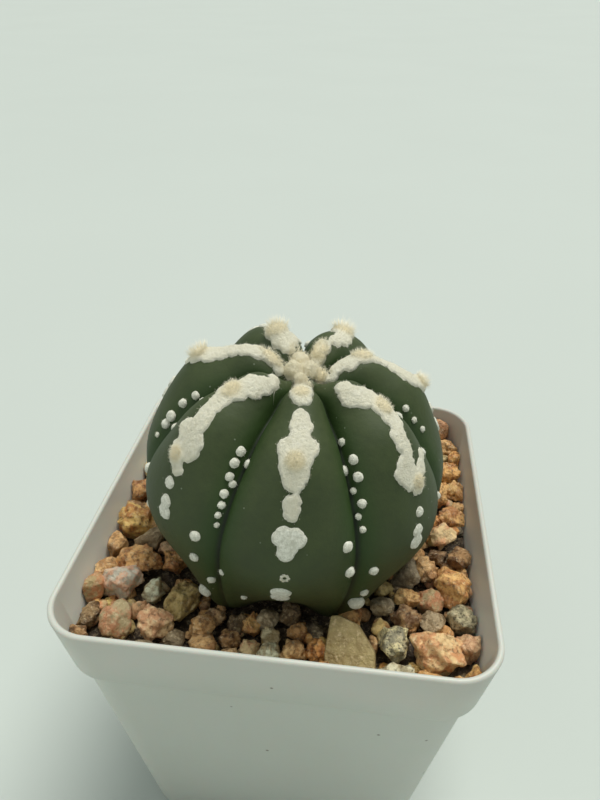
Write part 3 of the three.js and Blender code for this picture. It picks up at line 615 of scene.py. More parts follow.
def felt_finish(colour):
    """Cream felt of fine matted hairs, yellower at the woolly points that it grows from."""
    r = Recipe("felt")
    tuft = r.attribute("tuft")
    mat = r.grains(0.0006, 6, 0.75)
    lumps = r.grains(0.0022, 4, 0.6)
    worn = tinted(colour, 0.86, 0.84, 0.78)
    ground = r.mix(lumps.above(0.35, 0.7) * 0.45, colour, worn)
    ground = r.mix(mat.above(0.56, 0.36) * 0.35, ground, worn)
    ground = r.mix(mat.above(0.5, 0.66) * 0.4, ground, paint(252, 249, 234))
    ground = r.mix(tuft.above(0.1, 0.75) * (0.6 + 0.5 * lumps), ground, paint(253, 240, 202))
    ground = r.mix(r.attribute("rim") * 0.3, ground, paint(250, 248, 236))
    height = mat * 1.3 + lumps * 0.6
    return r.finish(ground, 0.95, r.bump(height, 0.0005, 1.0), Sheen_Weight=0.15, Sheen_Roughness=0.5)


def hair_finish():
    """Single fine hairs, white, or cream on the woolly points."""
    r = Recipe("wool_hair")
    tone = r.grains(0.0012, 3)
    ground = r.mix(tone.above(0.35, 0.65), paint(252, 248, 230), paint(246, 238, 212))
    ground = r.mix(r.attribute("tuft") * 0.65, ground, paint(254, 244, 212))
    return r.finish(ground, 0.85, Sheen_Weight=0.2)


def fleck_finish():
    """White felt of the small flecks."""
    r = Recipe("fleck_felt")
    mat = r.grains(0.0006, 6, 0.72)
    ground = r.mix(mat.above(0.38, 0.66), paint(212, 212, 194), paint(246, 246, 232))
    return r.finish(ground, 0.95, r.bump(mat, 0.0004, 0.9), Sheen_Weight=0.2)


def floor_finish(colour):
    """A plain pale floor with the faintest unevenness."""
    r = Recipe("floor")
    ground = r.mix(r.grains(0.25, 3), colour, tinted(colour, 0.95, 0.95, 0.95))
    return r.finish(ground, 0.7 + 0.1 * r.grains(0.05, 3))


# Pieces


def new_object(name, data):
    """An object at the origin that shows some data."""
    made = bpy.data.objects.new(name, data)
    bpy.context.scene.collection.objects.link(made)
    return made


def make_piece(name, mesh, material, replaces):
    """Ends a piece: metres, smooth shading, its material, and its place on the object."""
    mesh.transform(Matrix.Scale(MM, 4))
    mesh.shade_smooth()
    mesh.materials.append(material)
    piece = new_object(name, mesh)
    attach(piece, "root")
    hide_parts(replaces)
    return piece


def to_mesh(bm, name):
    mesh = bpy.data.meshes.new(name)
    bm.to_mesh(mesh)
    bm.free()
    return mesh


def even_out(bm, verts, factor, up):
    """Moves points towards the middle of their neighbours, level or also up and down."""
    bmesh.ops.smooth_vert(
        bm, verts=list(verts), factor=factor, use_axis_x=True, use_axis_y=True, use_axis_z=up
    )


def join(parts, layers=()):
    """One bmesh of many, with the named numbers of their points kept."""
    whole = bmesh.new()
    for layer in layers:
        whole.verts.layers.float.new(layer)
    for bm in parts:
        mesh = to_mesh(bm, "part")
        whole.from_mesh(mesh)
        bpy.data.meshes.remove(mesh)
    return whole


def write_attribute(mesh, name, values, kind="FLOAT"):
    """Gives a value to each vertex: a number, or a colour where kind says so."""
    layer = mesh.attributes.new(name, kind, "POINT")
    layer.data.foreach_set("value" if kind == "FLOAT" else "color", np.asarray(values, np.float32).ravel())


# The pot


def square_ring(half, corner, z):
    """A level outline of a square with round corners, as a list of points."""
    ring = []
    for side in range(4):
        middle = math.radians(45 + 90 * side)
        cx = math.copysign(half - corner, math.cos(middle))
        cy = math.copysign(half - corner, math.sin(middle))
        for k in range(POT["corner_steps"] + 1):
            angle = math.radians(90 * side + 90 * k / POT["corner_steps"])
            ring.append(Vector((cx + corner * math.cos(angle), cy + corner * math.sin(angle), z)))
    return ring


def body_half(z):
    return POT["base_half"] + (POT["body_top_half"] - POT["base_half"]) * z / BAND_FOOT


def body_corner(z):
    return POT["base_corner"] + (POT["body_corner"] - POT["base_corner"]) * z / BAND_FOOT


def inside_at(z):
    """The inside of the pot at a height: its half width and corner radius."""
    if z < BAND_FOOT:
        return body_half(z) - POT["wall"], body_corner(z) - POT["wall"]
    rise = (z - BAND_FOOT) / POT["band_height"]
    half = POT["band_foot_half"] + (POT["rim_half"] - POT["band_foot_half"]) * rise
    return half - POT["wall"], POT["rim_corner"] - POT["wall"]


def raise_wall(bm, levels):
    """Draws a closed wall through level outlines of equally many points, and closes its two ends."""
    place = bm.verts.layers.int.new("place")
    bmesh.ops.create_circle(bm, cap_ends=False, segments=len(levels[0]), radius=1)
    edges = list(bm.edges)
    for k, v in enumerate(bm.verts):
        v[place] = k
        v.co = levels[0][k]
    for level in levels[1:]:
        made = bmesh.ops.extrude_edge_only(bm, edges=edges)["geom"]
        ring = {g for g in made if isinstance(g, bmesh.types.BMVert)}
        edges = [g for g in made if isinstance(g, bmesh.types.BMEdge) and set(g.verts) <= ring]
        for v in ring:
            v.co = level[v[place]]
    bmesh.ops.holes_fill(bm, edges=list(bm.edges), sides=0)
    bmesh.ops.recalc_face_normals(bm, faces=list(bm.faces))


def pot_levels():
    """The pot's outlines from under its base, up the outside, over the lip and down the inside."""
    round_ = POT["base_round"]
    levels = []
    for k in range(POT["foot_steps"] + 1):
        angle = math.radians(90 * k / POT["foot_steps"])
        inset = round_ * (1 - math.sin(angle))
        z = round_ * (1 - math.cos(angle))
        levels.append(square_ring(body_half(z) - inset, POT["base_corner"] - inset, z))
    for z in (20, 40, BAND_FOOT - 0.5):
        levels.append(square_ring(body_half(z), body_corner(z), z))
    for out, z in ((-0.75, -0.42), (-0.45, -0.3), (-0.15, -0.05), (0, 0.35)):
        levels.append(square_ring(POT["band_foot_half"] + out, POT["rim_corner"], BAND_FOOT + z))
    lip = POT["wall"] / 2
    for k in range(POT["lip_steps"] + 1):
        angle = math.radians(180 * k / POT["lip_steps"])
        out = lip * math.cos(angle)
        z = POT["height"] - lip + lip * math.sin(angle)
        levels.append(square_ring(POT["rim_half"] - lip + out, POT["rim_corner"] - lip + out, z))
    for z in (BAND_FOOT + 0.4, BAND_FOOT - 1, POT["floor"] + 1.5):
        levels.append(square_ring(*inside_at(z), z))
    half, corner = inside_at(POT["floor"])
    levels.append(square_ring(half - 0.45, corner - 0.45, POT["floor"] + 0.45))
    levels.append(square_ring(half - 1.5, corner - 1.5, POT["floor"]))
    return levels


def drill_drains(pot):
    """Cuts the four drain holes through the pot's floor."""
    bm = bmesh.new()
    for sx in (-1, 1):
        for sy in (-1, 1):
            place = Matrix.Translation((sx * POT["drain_offset"] * MM, sy * POT["drain_offset"] * MM, 0))
            size = POT["drain_radius"] * MM
            bmesh.ops.create_cone(
                bm, cap_ends=True, segments=40, radius1=size, radius2=size, depth=POT["floor"] * 4 * MM, matrix=place
            )
    drill = new_object("drill", to_mesh(bm, "drill"))
    cut = pot.modifiers.new("drains", "BOOLEAN")
    cut.object = drill
    cut.solver = "EXACT"
    bpy.context.view_layer.update()
    drilled = bpy.data.meshes.new_from_object(pot.evaluated_get(bpy.context.evaluated_depsgraph_get()))
    pot.modifiers.clear()
    pot.data = drilled
    bpy.data.objects.remove(drill)
    drilled.shade_smooth()
    drilled.set_sharp_from_angle(angle=math.radians(POT["sharp_angle"]))


def make_pot(sizes):
    bm = bmesh.new()
    raise_wall(bm, pot_levels())
    drill_drains(make_piece("pot_shell", to_mesh(bm, "pot_shell"), plastic_finish((*sizes.colour, 1)), "pot"))


# The gravel


def bed_top(y):
    inner = POT["rim_half"] - POT["wall"]
    return BED["top_front"] + (BED["top_back"] - BED["top_front"]) * (y + inner) / (2 * inner)


def room_beside_plant(x, y, z):
    """How far a point lies outside the plant where its sides go down into the bed."""
    middle = HEART + AXIS_Z * (z - HEART[2]) / AXIS_Z[2]
    return math.hypot(x - middle[0], y - middle[1]) - float(girth(-35))


def stone_places():
    """Every stone of the solids: (x, y, sizes, turn, tilt, kind)."""
    stones = [(x, y, (a, b, c), turn, 0, kind) for x, y, a, b, c, turn, kind in PLACED_STONES]
    x, y, a, b, c, turn = SLAB_PLACE
    stones.insert(0, (x, y, (a, b, c), turn, 0, "slab"))
    between = repeatable(41)
    kinds = random.Random(5)
    inner = POT["rim_half"] - POT["wall"] - STONES["wall_margin"]
    straight = inner - STONES["corner_round"]
    for tries, small, large in STONES["rounds"]:
        for _ in range(tries):
            x, y, long = between(-inner, inner), between(-inner, inner), between(small, large)
            corner = math.hypot(max(abs(x) - straight, 0), max(abs(y) - straight, 0))
            if corner > STONES["corner_round"] or room_beside_plant(x, y, bed_top(y)) < -STONES["tuck"]:
                continue
            if any(
                math.hypot(sx - x, sy - y) < (s[0] + s[1] + 2 * long) / 4 * STONES["spread"]
                for sx, sy, s, *_ in stones
            ):
                continue
            sides = (long, long * between(0.75, 1), long * between(*STONES["flatness"]))
            turn, tilt = between(0, FULL_TURN), between(-STONES["tilt"], STONES["tilt"])
            stones.append((x, y, sides, turn, tilt, kinds.choice(COMMON_KINDS)))
    return stones


def shape_stone(sizes, seed, fineness, roughness):
    """A broken stone about its own middle: a ball pressed flat on many sides, worn at the edges and pitted."""
    bm = bmesh.new()
    bmesh.ops.create_icosphere(bm, subdivisions=fineness, radius=1)
    draw = random.Random(seed)
    for _ in range(BREAKING["sides"]):
        facing = Vector((draw.gauss(0, 1), draw.gauss(0, 1), draw.gauss(0, 1))).normalized()
        depth = draw.uniform(*BREAKING["depth"])
        for v in bm.verts:
            over = v.co.dot(facing) - depth
            if over > 0:
                v.co -= facing * over
    even_out(bm, bm.verts, BREAKING["wear"], up=True)
    shift = Vector((draw.random(), draw.random(), draw.random())) * 50
    chip_sizes = BREAKING["chips"][: 2 if fineness > 2 else 1]
    for v in bm.verts:
        lumps = sum(share * noise.noise(v.co * scale + shift) for scale, share in BREAKING["lumps"])
        chips = sum(share * abs(noise.noise(v.co * scale - shift)) for scale, share in chip_sizes)
        v.co *= 1 + roughness * (lumps - BREAKING["chipping"] * chips)
    low = [min(v.co[k] for v in bm.verts) for k in range(3)]
    high = [max(v.co[k] for v in bm.verts) for k in range(3)]
    middle = Vector([(a + b) / 2 for a, b in zip(low, high)])
    bmesh.ops.translate(bm, vec=-middle, verts=list(bm.verts))
    bmesh.ops.scale(bm, vec=[s / (b - a) for s, a, b in zip(sizes, low, high)], verts=list(bm.verts))
    return bm


def shape_slab():
    """The smooth slab in front: a flat leaning plate with worn edges."""
    bm = bmesh.new()
    bmesh.ops.create_circle(bm, cap_ends=True, segments=len(SLAB["outline"]), radius=1)
    for v, (x, y) in zip(bm.verts, SLAB["outline"]):
        v.co = (x, y, 0)
    bmesh.ops.solidify(bm, geom=list(bm.faces), thickness=SLAB["thickness"])
    bmesh.ops.recalc_face_normals(bm, faces=list(bm.faces))
    bmesh.ops.bevel(
        bm, geom=list(bm.edges), offset=SLAB["bevel"], offset_type="OFFSET", segments=SLAB["bevel_steps"],
        profile=0.5, affect="EDGES", material=-1, clamp_overlap=True,
    )
    bmesh.ops.triangulate(bm, faces=list(bm.faces))
    long = [e for e in bm.edges if e.calc_length() > SLAB["longest_edge"]]
    bmesh.ops.subdivide_edges(bm, edges=long, cuts=3, use_grid_fill=True)
    high, scale = SLAB["wave"]
    for v in bm.verts:
        v.co.z += high * noise.noise(v.co * scale)
    facing = Vector(SLAB["facing"]).normalized()
    aside = Vector((0, 0, 1)).cross(facing).normalized()
    turn = Matrix((aside, facing.cross(aside), facing)).transposed().to_4x4()
    bmesh.ops.transform(bm, matrix=Matrix.Translation(SLAB["middle"]) @ turn, verts=list(bm.verts))
    return bm


def keep_in_pot(v):
    """Presses a point that would stand in the pot's wall back to the inside."""
    half, corner = inside_at(v.co.z)
    half, corner = half - 0.3, corner - 0.3
    x, y = max(-half, min(half, v.co.x)), max(-half, min(half, v.co.y))
    straight = half - corner
    dx, dy = abs(x) - straight, abs(y) - straight
    if dx > 0 and dy > 0 and math.hypot(dx, dy) > corner:
        shrink = corner / math.hypot(dx, dy)
        x, y = math.copysign(straight + dx * shrink, x), math.copysign(straight + dy * shrink, y)
    v.co.x, v.co.y = x, y


def gather(parts, name):
    """Joins stones, each given with its look, into one mesh."""
    counts, looks = [len(bm.verts) for bm, _ in parts], [look for _, look in parts]
    mesh = to_mesh(join(bm for bm, _ in parts), name)
    for key, kind in (("ground", "FLOAT_COLOR"), ("vein", "FLOAT_COLOR"), ("dark", "FLOAT")):
        rows = [np.tile(np.atleast_1d(look[key]), (count, 1)) for count, look in zip(counts, looks)]
        write_attribute(mesh, key, np.concatenate(rows), kind)
    return mesh


def stone_look(kind, draw):
    """A stone's own colours, a little off its kind's."""
    ground, vein, dark = STONE_KINDS[kind]
    shade = draw.uniform(*SHADE)
    warm = draw.uniform(-WARMTH, WARMTH)

    def tone(colour):
        return paint(*(min(max(c * shade + w, 0), 245) for c, w in zip(colour, (warm, 0, -warm))))

    return {"ground": tone(ground), "vein": tone(vein), "dark": dark}


def lay_down(bm, place):
    """Puts a stone in its place, and presses it back where it would stand in the pot's wall."""
    bmesh.ops.transform(bm, matrix=place, verts=list(bm.verts))
    for v in bm.verts:
        keep_in_pot(v)


def make_gravel(sizes):
    draw = random.Random(17)
    parts = []
    for number, (x, y, size, turn, tilt, kind) in enumerate(stone_places()):
        if kind == "slab":
            bm, place = shape_slab(), Matrix()
        else:
            placed = number <= len(PLACED_STONES)
            rough = STONES["smooth" if kind in STONES["smooth_kinds"] else "rough"]
            bm = shape_stone(size, 1000 + number, 4 if placed else 3, rough)
            rise = STONES["sunk"] * size[2] + STONES["lift"] * draw.uniform(-1, 1)
            lie = Matrix.Rotation(math.radians(turn), 4, "Z") @ Matrix.Rotation(math.radians(tilt), 4, "X")
            place = Matrix.Translation((x, y, bed_top(y) + rise)) @ lie
        lay_down(bm, place)
        parts.append((bm, stone_look(kind, draw)))
    finish = stone_finish()
    make_piece("gravel_stones", gather(parts, "gravel_stones"), finish, "gravel")
    make_piece("gravel_bed", bed_mesh(sizes, draw), finish, "gravel")


def bed_mesh(sizes, draw):
    """What lies under and between the stones: an uneven bed painted dark brown as painted shade in the gaps, and
    small grit.
    """
    bm = bmesh.new()
    bmesh.ops.create_grid(bm, x_segments=BED["cells"], y_segments=BED["cells"], size=1)
    half = POT["rim_half"] - POT["wall"]
    for v in bm.verts:
        x, y = v.co.x * half, v.co.y * half
        waves = (high * noise.noise(Vector((x, y, layer)) * scale) for high, scale, layer in BED["waves"])
        v.co = (x, y, sum(waves, bed_top(y) - BED["under_top"]))
        keep_in_pot(v)
    edge = [e for e in bm.edges if e.is_boundary]
    skirt = bmesh.ops.extrude_edge_only(bm, edges=edge)["geom"]
    skirt = [g for g in skirt if isinstance(g, bmesh.types.BMVert)]
    bmesh.ops.translate(bm, vec=(0, 0, -BED["skirt"]), verts=skirt)
    # Painted shade: the bed is painted a dark brown, standing in for the shade in the gaps between the stones.
    parts = [(bm, {"ground": paint(84, 68, 48), "vein": paint(52, 40, 28), "dark": 0.5})]
    for number in range(sizes.grit):
        x, y = (draw.uniform(-GRIT["reach"], GRIT["reach"]) for _ in range(2))
        if room_beside_plant(x, y, bed_top(y)) < GRIT["room"]:
            continue
        long = draw.uniform(*GRIT["length"])
        size = (long, long * draw.uniform(*GRIT["width"]), long * draw.uniform(*GRIT["thickness"]))
        bm = shape_stone(size, 5000 + number, GRIT["fineness"], GRIT["rough"])
        turn = Matrix.Rotation(draw.uniform(0, math.tau), 4, "Z")
        lay_down(bm, Matrix.Translation((x, y, bed_top(y) + draw.uniform(0, GRIT["rise"]))) @ turn)
        parts.append((bm, stone_look(draw.choice(COMMON_KINDS), draw)))
    return gather(parts, "gravel_bed")


# The plant


def make_skin(sizes):
    """The plant's closed skin: a fine grid drawn round the ribs, joined at its seam and its two ends."""
    bm = bmesh.new()
    columns = SKIN_GRID["per_rib"] * len(RIB_ANGLES)
    bmesh.ops.create_grid(bm, x_segments=columns, y_segments=SKIN_GRID["rows"], size=0.5)
    flat = np.array([v.co for v in bm.verts])
    turn = (flat[:, 0] + 0.5) * len(RIB_ANGLES)
    rib = np.clip(turn.astype(int), 0, len(RIB_ANGLES) - 1)
    azimuth = RIBS_ROUND[rib] + (turn - rib) * (RIBS_ROUND[rib + 1] - RIBS_ROUND[rib])
    elevation = -90 + (flat[:, 1] + 0.5) * 180
    points = skin(azimuth, elevation)
    normals = skin_normals(azimuth, np.clip(elevation, -SKIN_GRID["poles"], SKIN_GRID["poles"]))
    uneven = 0.12 * grain(points, 0.16, 3) + 0.035 * grain(points, 0.7, 4)
    points = points + normals * (uneven * ramp(elevation, -60, -40) * ramp(elevation, 90, 80))[:, None]
    for v, p in zip(bm.verts, points):
        v.co = p
    groove = bm.verts.layers.float.new("groove")
    rise = bm.verts.layers.float.new("rise")
    for v, a, e in zip(bm.verts, rib_place(azimuth)[1], elevation):
        v[groove] = a
        v[rise] = (e + 90) / 180
    bmesh.ops.remove_doubles(bm, verts=list(bm.verts), dist=SKIN_GRID["weld"])
    bmesh.ops.recalc_face_normals(bm, faces=list(bm.faces))
    mesh = to_mesh(bm, "plant_skin")
    make_piece("plant_skin", mesh, skin_finish((*sizes.colour, 1)), "cactus_body")


def felt_depth(rib, spots, offset, elevation):
    """How far points lie inside the outline of some spots, in millimetres. It is negative outside."""
    here = skin(azimuth_beside(rib, offset, elevation), elevation)
    away = [np.linalg.norm(here - spot_point(rib, e, across), axis=1) - radius for e, across, radius in spots]
    return -np.min(away, axis=0)


def lay_felt(rib, spots, look, seed):
    """One patch of felt over a rib's spots: laid out flat, trimmed to its outline, thickened and put on the rib.
    It gives the bmesh, and each hair root that it offers as (point, normal, outward, tuft, at the edge)."""
    margin = look["margin"]
    middles = [spot_middle(rib, e, a) for e, a, _ in spots]
    left = min(m - r for m, (_, _, r) in zip(middles, spots)) - margin
    right = max(m + r for m, (_, _, r) in zip(middles, spots)) + margin
    per_mm = FULL_TURN / (math.tau * FLAT_RADIUS)
    low = min(e - (r + margin) * per_mm for e, _, r in spots)
    high = min(max(e + (r + margin) * per_mm for e, _, r in spots), look["highest"])
    cell = look["cell"]
    bm = bmesh.new()
    columns, rows = math.ceil((right - left) / cell), math.ceil((high - low) / per_mm / cell)
    bmesh.ops.create_grid(bm, x_segments=columns, y_segments=rows, size=0.5)
    flat = np.array([v.co for v in bm.verts])
    offset, elevation = left + (flat[:, 0] + 0.5) * (right - left), low + (flat[:, 1] + 0.5) * (high - low)

    def depth_at(s, e):
        plan = np.stack([s, e / per_mm, np.full(len(s), 3.0 * seed)], 1)
        ragged = look["ragged"] * (grain(plan, 0.9, seed) + 0.6 * grain(plan, 2.1, seed + 1))
        return felt_depth(rib, spots, s, e) + look["grow"] + ragged

    depth = depth_at(offset, elevation)
    for v, s, e in zip(bm.verts, offset, elevation):
        v.co = (s, e / per_mm, 0)
    bmesh.ops.delete(bm, geom=[v for v, d in zip(bm.verts, depth) if d < 0], context="VERTS")
    bmesh.ops.delete(bm, geom=[v for v in bm.verts if not v.link_faces], context="VERTS")
    rim = [v for v in bm.verts if v.is_boundary]
    step = TRIM["probe"]
    for _ in range(TRIM["rounds"]):
        s, t = np.array([v.co.x for v in rim]), np.array([v.co.y for v in rim])
        here = depth_at(s, t * per_mm)
        ds = (depth_at(s + step, t * per_mm) - here) / step
        dt = (depth_at(s, (t + step) * per_mm) - here) / step
        pull = np.clip(here, -TRIM["most"], TRIM["most"]) / np.maximum(ds**2 + dt**2, TRIM["least_slope"])
        for v, a, b in zip(rim, ds * pull, dt * pull):
            v.co.x -= a
            v.co.y -= b
    even_out(bm, [v for v in bm.verts if not v.is_boundary], 0.5, up=False)
    bmesh.ops.recalc_face_normals(bm, faces=list(bm.faces))
    plan = np.array([v.co for v in bm.verts])
    s, e = plan[:, 0], plan[:, 1] * per_mm
    depth = np.maximum(depth_at(s, e), 0)
    depth[[v.is_boundary for v in bm.verts]] = 0
    tuft = np.zeros(len(s))
    dome = np.zeros(len(s))
    for t_rib, t_e, t_across, radius, height in TUFTS:
        if t_rib != rib or not look["tufts"]:
            continue
        away = np.linalg.norm(skin(azimuth_beside(rib, s, e), e) - spot_point(rib, t_e, t_across), axis=1)
        near = np.exp(-((away / radius) ** 2))
        tuft, dome = np.maximum(tuft, near), np.maximum(dome, near * height * TUFT_DOME)
    edge = np.minimum(depth / look["edge"], 1)
    lumps = 0.13 * grain(plan, 1.1, seed + 2) + 0.07 * grain(plan, 2.8, seed + 3)
    height = look["thickness"] * np.sqrt(1 - (1 - edge) ** 2) + edge * (lumps * look["thickness"] / 0.55 + dome)
    height += look["crown"] * np.minimum(depth / 2, 1)
    azimuth = azimuth_beside(rib, s, e)
    normals = skin_normals(azimuth, e)
    points = skin(azimuth, e) + normals * (height - look["set_in"] * (1 - edge))[:, None]
    tuft_layer, rim_layer = bm.verts.layers.float.new("tuft"), bm.verts.layers.float.new("rim")
    for v, p, share, inside in zip(bm.verts, points, tuft, depth):
        v.co = p
        v[tuft_layer] = share
        v[rim_layer] = max(1 - inside / look["rim"], 0)
    roots = []
    for v, n, share in zip(bm.verts, normals, tuft):
        outward = Vector()
        if v.is_boundary:
            middle = sum((f.calc_center_median() for f in v.link_faces), Vector()) / len(v.link_faces)
            outward = (v.co - middle).normalized()
        roots.append((np.array(v.co), n, np.array(outward), share))
    skirt = bmesh.ops.extrude_edge_only(bm, edges=[g for g in bm.edges if g.is_boundary])["geom"]
    for v in skirt:
        if isinstance(v, bmesh.types.BMVert):
            toward = Vector(HEART) - v.co
            v.co += toward.normalized() * look["root"]
    return bm, roots


def woolly_ball(foot, up, radius, height, tuft, fineness, seed):
    """A woolly ball that stands on a foot point, and the hair roots that it offers."""
    bm = bmesh.new()
    bmesh.ops.create_icosphere(bm, subdivisions=fineness, radius=1)
    shift = Vector((seed * 3.3, 1.7, 0))
    up = Vector(up)
    turn = up.to_track_quat("Z", "Y")
    layer = bm.verts.layers.float.new("tuft")
    for v in bm.verts:
        lumps = 1 + sum(share * noise.noise(v.co * scale + shift) for scale, share in BALL_LUMPS)
        v.co = Vector(foot) + turn @ Vector((v.co.x * radius, v.co.y * radius, v.co.z * height)) * lumps
        v[layer] = tuft
    bm.normal_update()
    roots = [
        (np.array(v.co), np.array(v.normal), np.zeros(3), tuft) for v in bm.verts if v.normal.dot(up) > -0.1
    ]
    return bm, roots


def join_patches(patches, name):
    """One mesh of many patches, each with its shares of tuft and rim colour at its points."""
    whole = join(patches, ("tuft", "rim"))
    bmesh.ops.recalc_face_normals(whole, faces=list(whole.faces))
    return to_mesh(whole, name)


# Hairs


def hair_strand(root, normal, outward, tuft, look, draw):
    """One hair from a root: (root, tip, bend, thickness, tuft)."""
    wild = np.array([draw.gauss(0, 1) for _ in range(3)])
    if outward.any():
        way = outward * draw.uniform(*HAIR["rim_out"]) + normal * draw.uniform(*HAIR["rim_up"])
        way = way + wild * HAIR["rim_wild"]
        long = draw.uniform(*look["rim_length"])
    else:
        way = normal * draw.uniform(*HAIR["up"]) + wild * HAIR["wild"]
        long = draw.uniform(*look["length"])
    thickness = look["thickness"] * draw.uniform(*HAIR["thickness"])
    return root - normal * HAIR["sunk"], root + unit(way) * long, wild * long * HAIR["bend"], thickness, tuft


def tuft_strands(look, draw):
    """The standing brushes of hair on the woolly points."""
    strands = []
    for rib, e, across, radius, height in TUFTS:
        middle = spot_point(rib, e, across)
        for _ in range(look["brush"]):
            far = radius * BRUSH["spread"] * math.sqrt(draw.random())
            turn = draw.uniform(0, math.tau)
            s = spot_middle(rib, e, across) + far * math.cos(turn)
            rise = min(e + math.degrees(far * math.sin(turn) / float(through(CREST, e))), BRUSH["highest"])
            azimuth, spot = np.array([azimuth_beside(rib, s, rise)]), np.array([rise])
            here, up = skin(azimuth, spot)[0], skin_normals(azimuth, spot)[0]
            wild = np.array([draw.gauss(0, 1) for _ in range(3)])
            way = unit(up + (here - middle) / radius * BRUSH["lean"] + wild * BRUSH["wild"])
            fade = BRUSH["fade"] * far / radius
            long = height * draw.uniform(*BRUSH["length"]) * (BRUSH["middle"] - fade)
            root, thickness = here + up * BRUSH["foot"], look["thickness"] * BRUSH["thickness"]
            strands.append((root, root + way * long, wild * long * BRUSH["bend"], thickness, BRUSH["tuft"] - fade))
    return strands


def hair_mesh(strands, name):
    """One mesh of fine three-sided tapering hairs."""
    bm = bmesh.new()
    bmesh.ops.create_circle(bm, cap_ends=False, segments=3, radius=1)
    below, width = 0, 1
    for height, size in HAIR_RINGS:
        edges = [e for e in bm.edges if all(v.co.z == below for v in e.verts)]
        made = bmesh.ops.extrude_edge_only(bm, edges=edges)["geom"]
        ring = [g for g in made if isinstance(g, bmesh.types.BMVert)]
        bmesh.ops.translate(bm, vec=(0, 0, height - below), verts=ring)
        bmesh.ops.scale(bm, vec=(size / width, size / width, 1), verts=ring)
        below, width = height, size
    bmesh.ops.remove_doubles(bm, verts=list(bm.verts), dist=0.001)
    template = to_mesh(bm, "hair")
    plan = np.array([v.co for v in template.vertices])
    whole = bmesh.new()
    for _ in strands:
        whole.from_mesh(template)
    bpy.data.meshes.remove(template)
    mesh = to_mesh(whole, name)
    roots, tips, bends, thick, tuft = (np.array(x) for x in zip(*strands))
    along = unit(tips - roots)
    aside = unit(np.cross(along, (0.31, 0.52, 0.79)))
    other = np.cross(along, aside)
    x, y, z = plan[:, 0], plan[:, 1], plan[:, 2]
    points = (
        roots[:, None]
        + (tips - roots)[:, None] * z[:, None]
        + bends[:, None] * (z * (1 - z) * 2)[:, None]
        + (aside[:, None] * x[:, None] + other[:, None] * y[:, None]) * thick[:, None, None]
    )
    mesh.vertices.foreach_set("co", points.astype(np.float32).ravel())
    write_attribute(mesh, "tuft", np.repeat(tuft, len(plan)))
    mesh.update()
    return mesh


def make_wool(sizes):
    """The felt on the ribs, the balls in the crown, and all their hairs."""
    draw = random.Random(3)
    look = dict(FELT_HAIR, thickness=sizes.hair_thickness / MM, brush=sizes.brush)
    patches, strands = [], []
    for rib, spots in enumerate(FELT):
        bm, roots = lay_felt(rib, spots, FELT_LOOK, 10 * rib + 1)
        patches.append(bm)
        for root in roots:
            count = 2 if root[2].any() else int(draw.random() < sizes.cover)
            strands += [hair_strand(*root, look, draw) for _ in range(count)]
    long = dict(look, length=CROWN["hair"])
    for number, (x, y, radius, height) in enumerate(CROWN_BALLS):
        foot = (x, y, HEART[2] + CROWN["above_heart"])
        bm, roots = woolly_ball(foot, (0, 0, 1), radius, height, CROWN["tuft"], CROWN["fineness"], number)
        patches.append(bm)
        strands += [hair_strand(*root, long, draw) for root in roots]
    strands += tuft_strands(look, draw)
    root, tip = (spot_point(rib, e, across) + up * AXIS_Z for rib, e, across, up in LOOSE_FIBRE["ends"])
    strands.append((root, tip, np.array(LOOSE_FIBRE["bend"]), look["thickness"] * LOOSE_FIBRE["thickness"], 0))
    felt = join_patches(patches, "felt")
    make_piece("felt", felt, felt_finish((*sizes.colour, 1)), "crown_wool")
    make_piece("wool_hairs", hair_mesh(strands, "wool_hairs"), hair_finish(), "crown_wool")


def fleck_groups():
    """The flecks as lists of spots that grow into each other, each with its rib."""
    groups = []
    for rib, row in enumerate(FLECKS):
        before = None
        for e, across, radius in row:
            here = spot_point(rib, e, across)
            if before is not None and np.linalg.norm(here - before[0]) < GROWN_TOGETHER * (before[1] + radius):
                groups[-1][1].append((e, across, radius))
            else:
                groups.append((rib, [(e, across, radius)]))
            before = here, radius
    return groups


def make_flecks(sizes):
    """The flecks that stand alone on the skin, the small ones beside the grooves, and their short hairs."""
    draw = random.Random(11)
    look = dict(FLECK_HAIR, thickness=sizes.hair_thickness / MM)
    patches, strands = [], []
    for number, (rib, spots) in enumerate(fleck_groups()):
        bm, roots = lay_felt(rib, spots, FLECK_LOOK, 200 + number)
        patches.append(bm)
        strands += [hair_strand(*root, look, draw) for root in roots if root[2].any()]
    for number, (rib, across, e, radius) in enumerate(dot_places() + ring_places()):
        up = skin_normals(*spot_angles(rib, e, across))[0]
        foot = spot_point(rib, e, across)
        bm, roots = woolly_ball(foot, up, radius, radius * DOT["height"], 0, DOT["fineness"], number)
        patches.append(bm)
        strands += [hair_strand(*root, look, draw) for root in roots if draw.random() < DOT["hairs"]]
    flecks = join_patches(patches, "flecks")
    make_piece("flecks", flecks, fleck_finish(), "cactus_body")
    make_piece("fleck_hairs", hair_mesh(strands, "fleck_hairs"), hair_finish(), "cactus_body")


# The stage


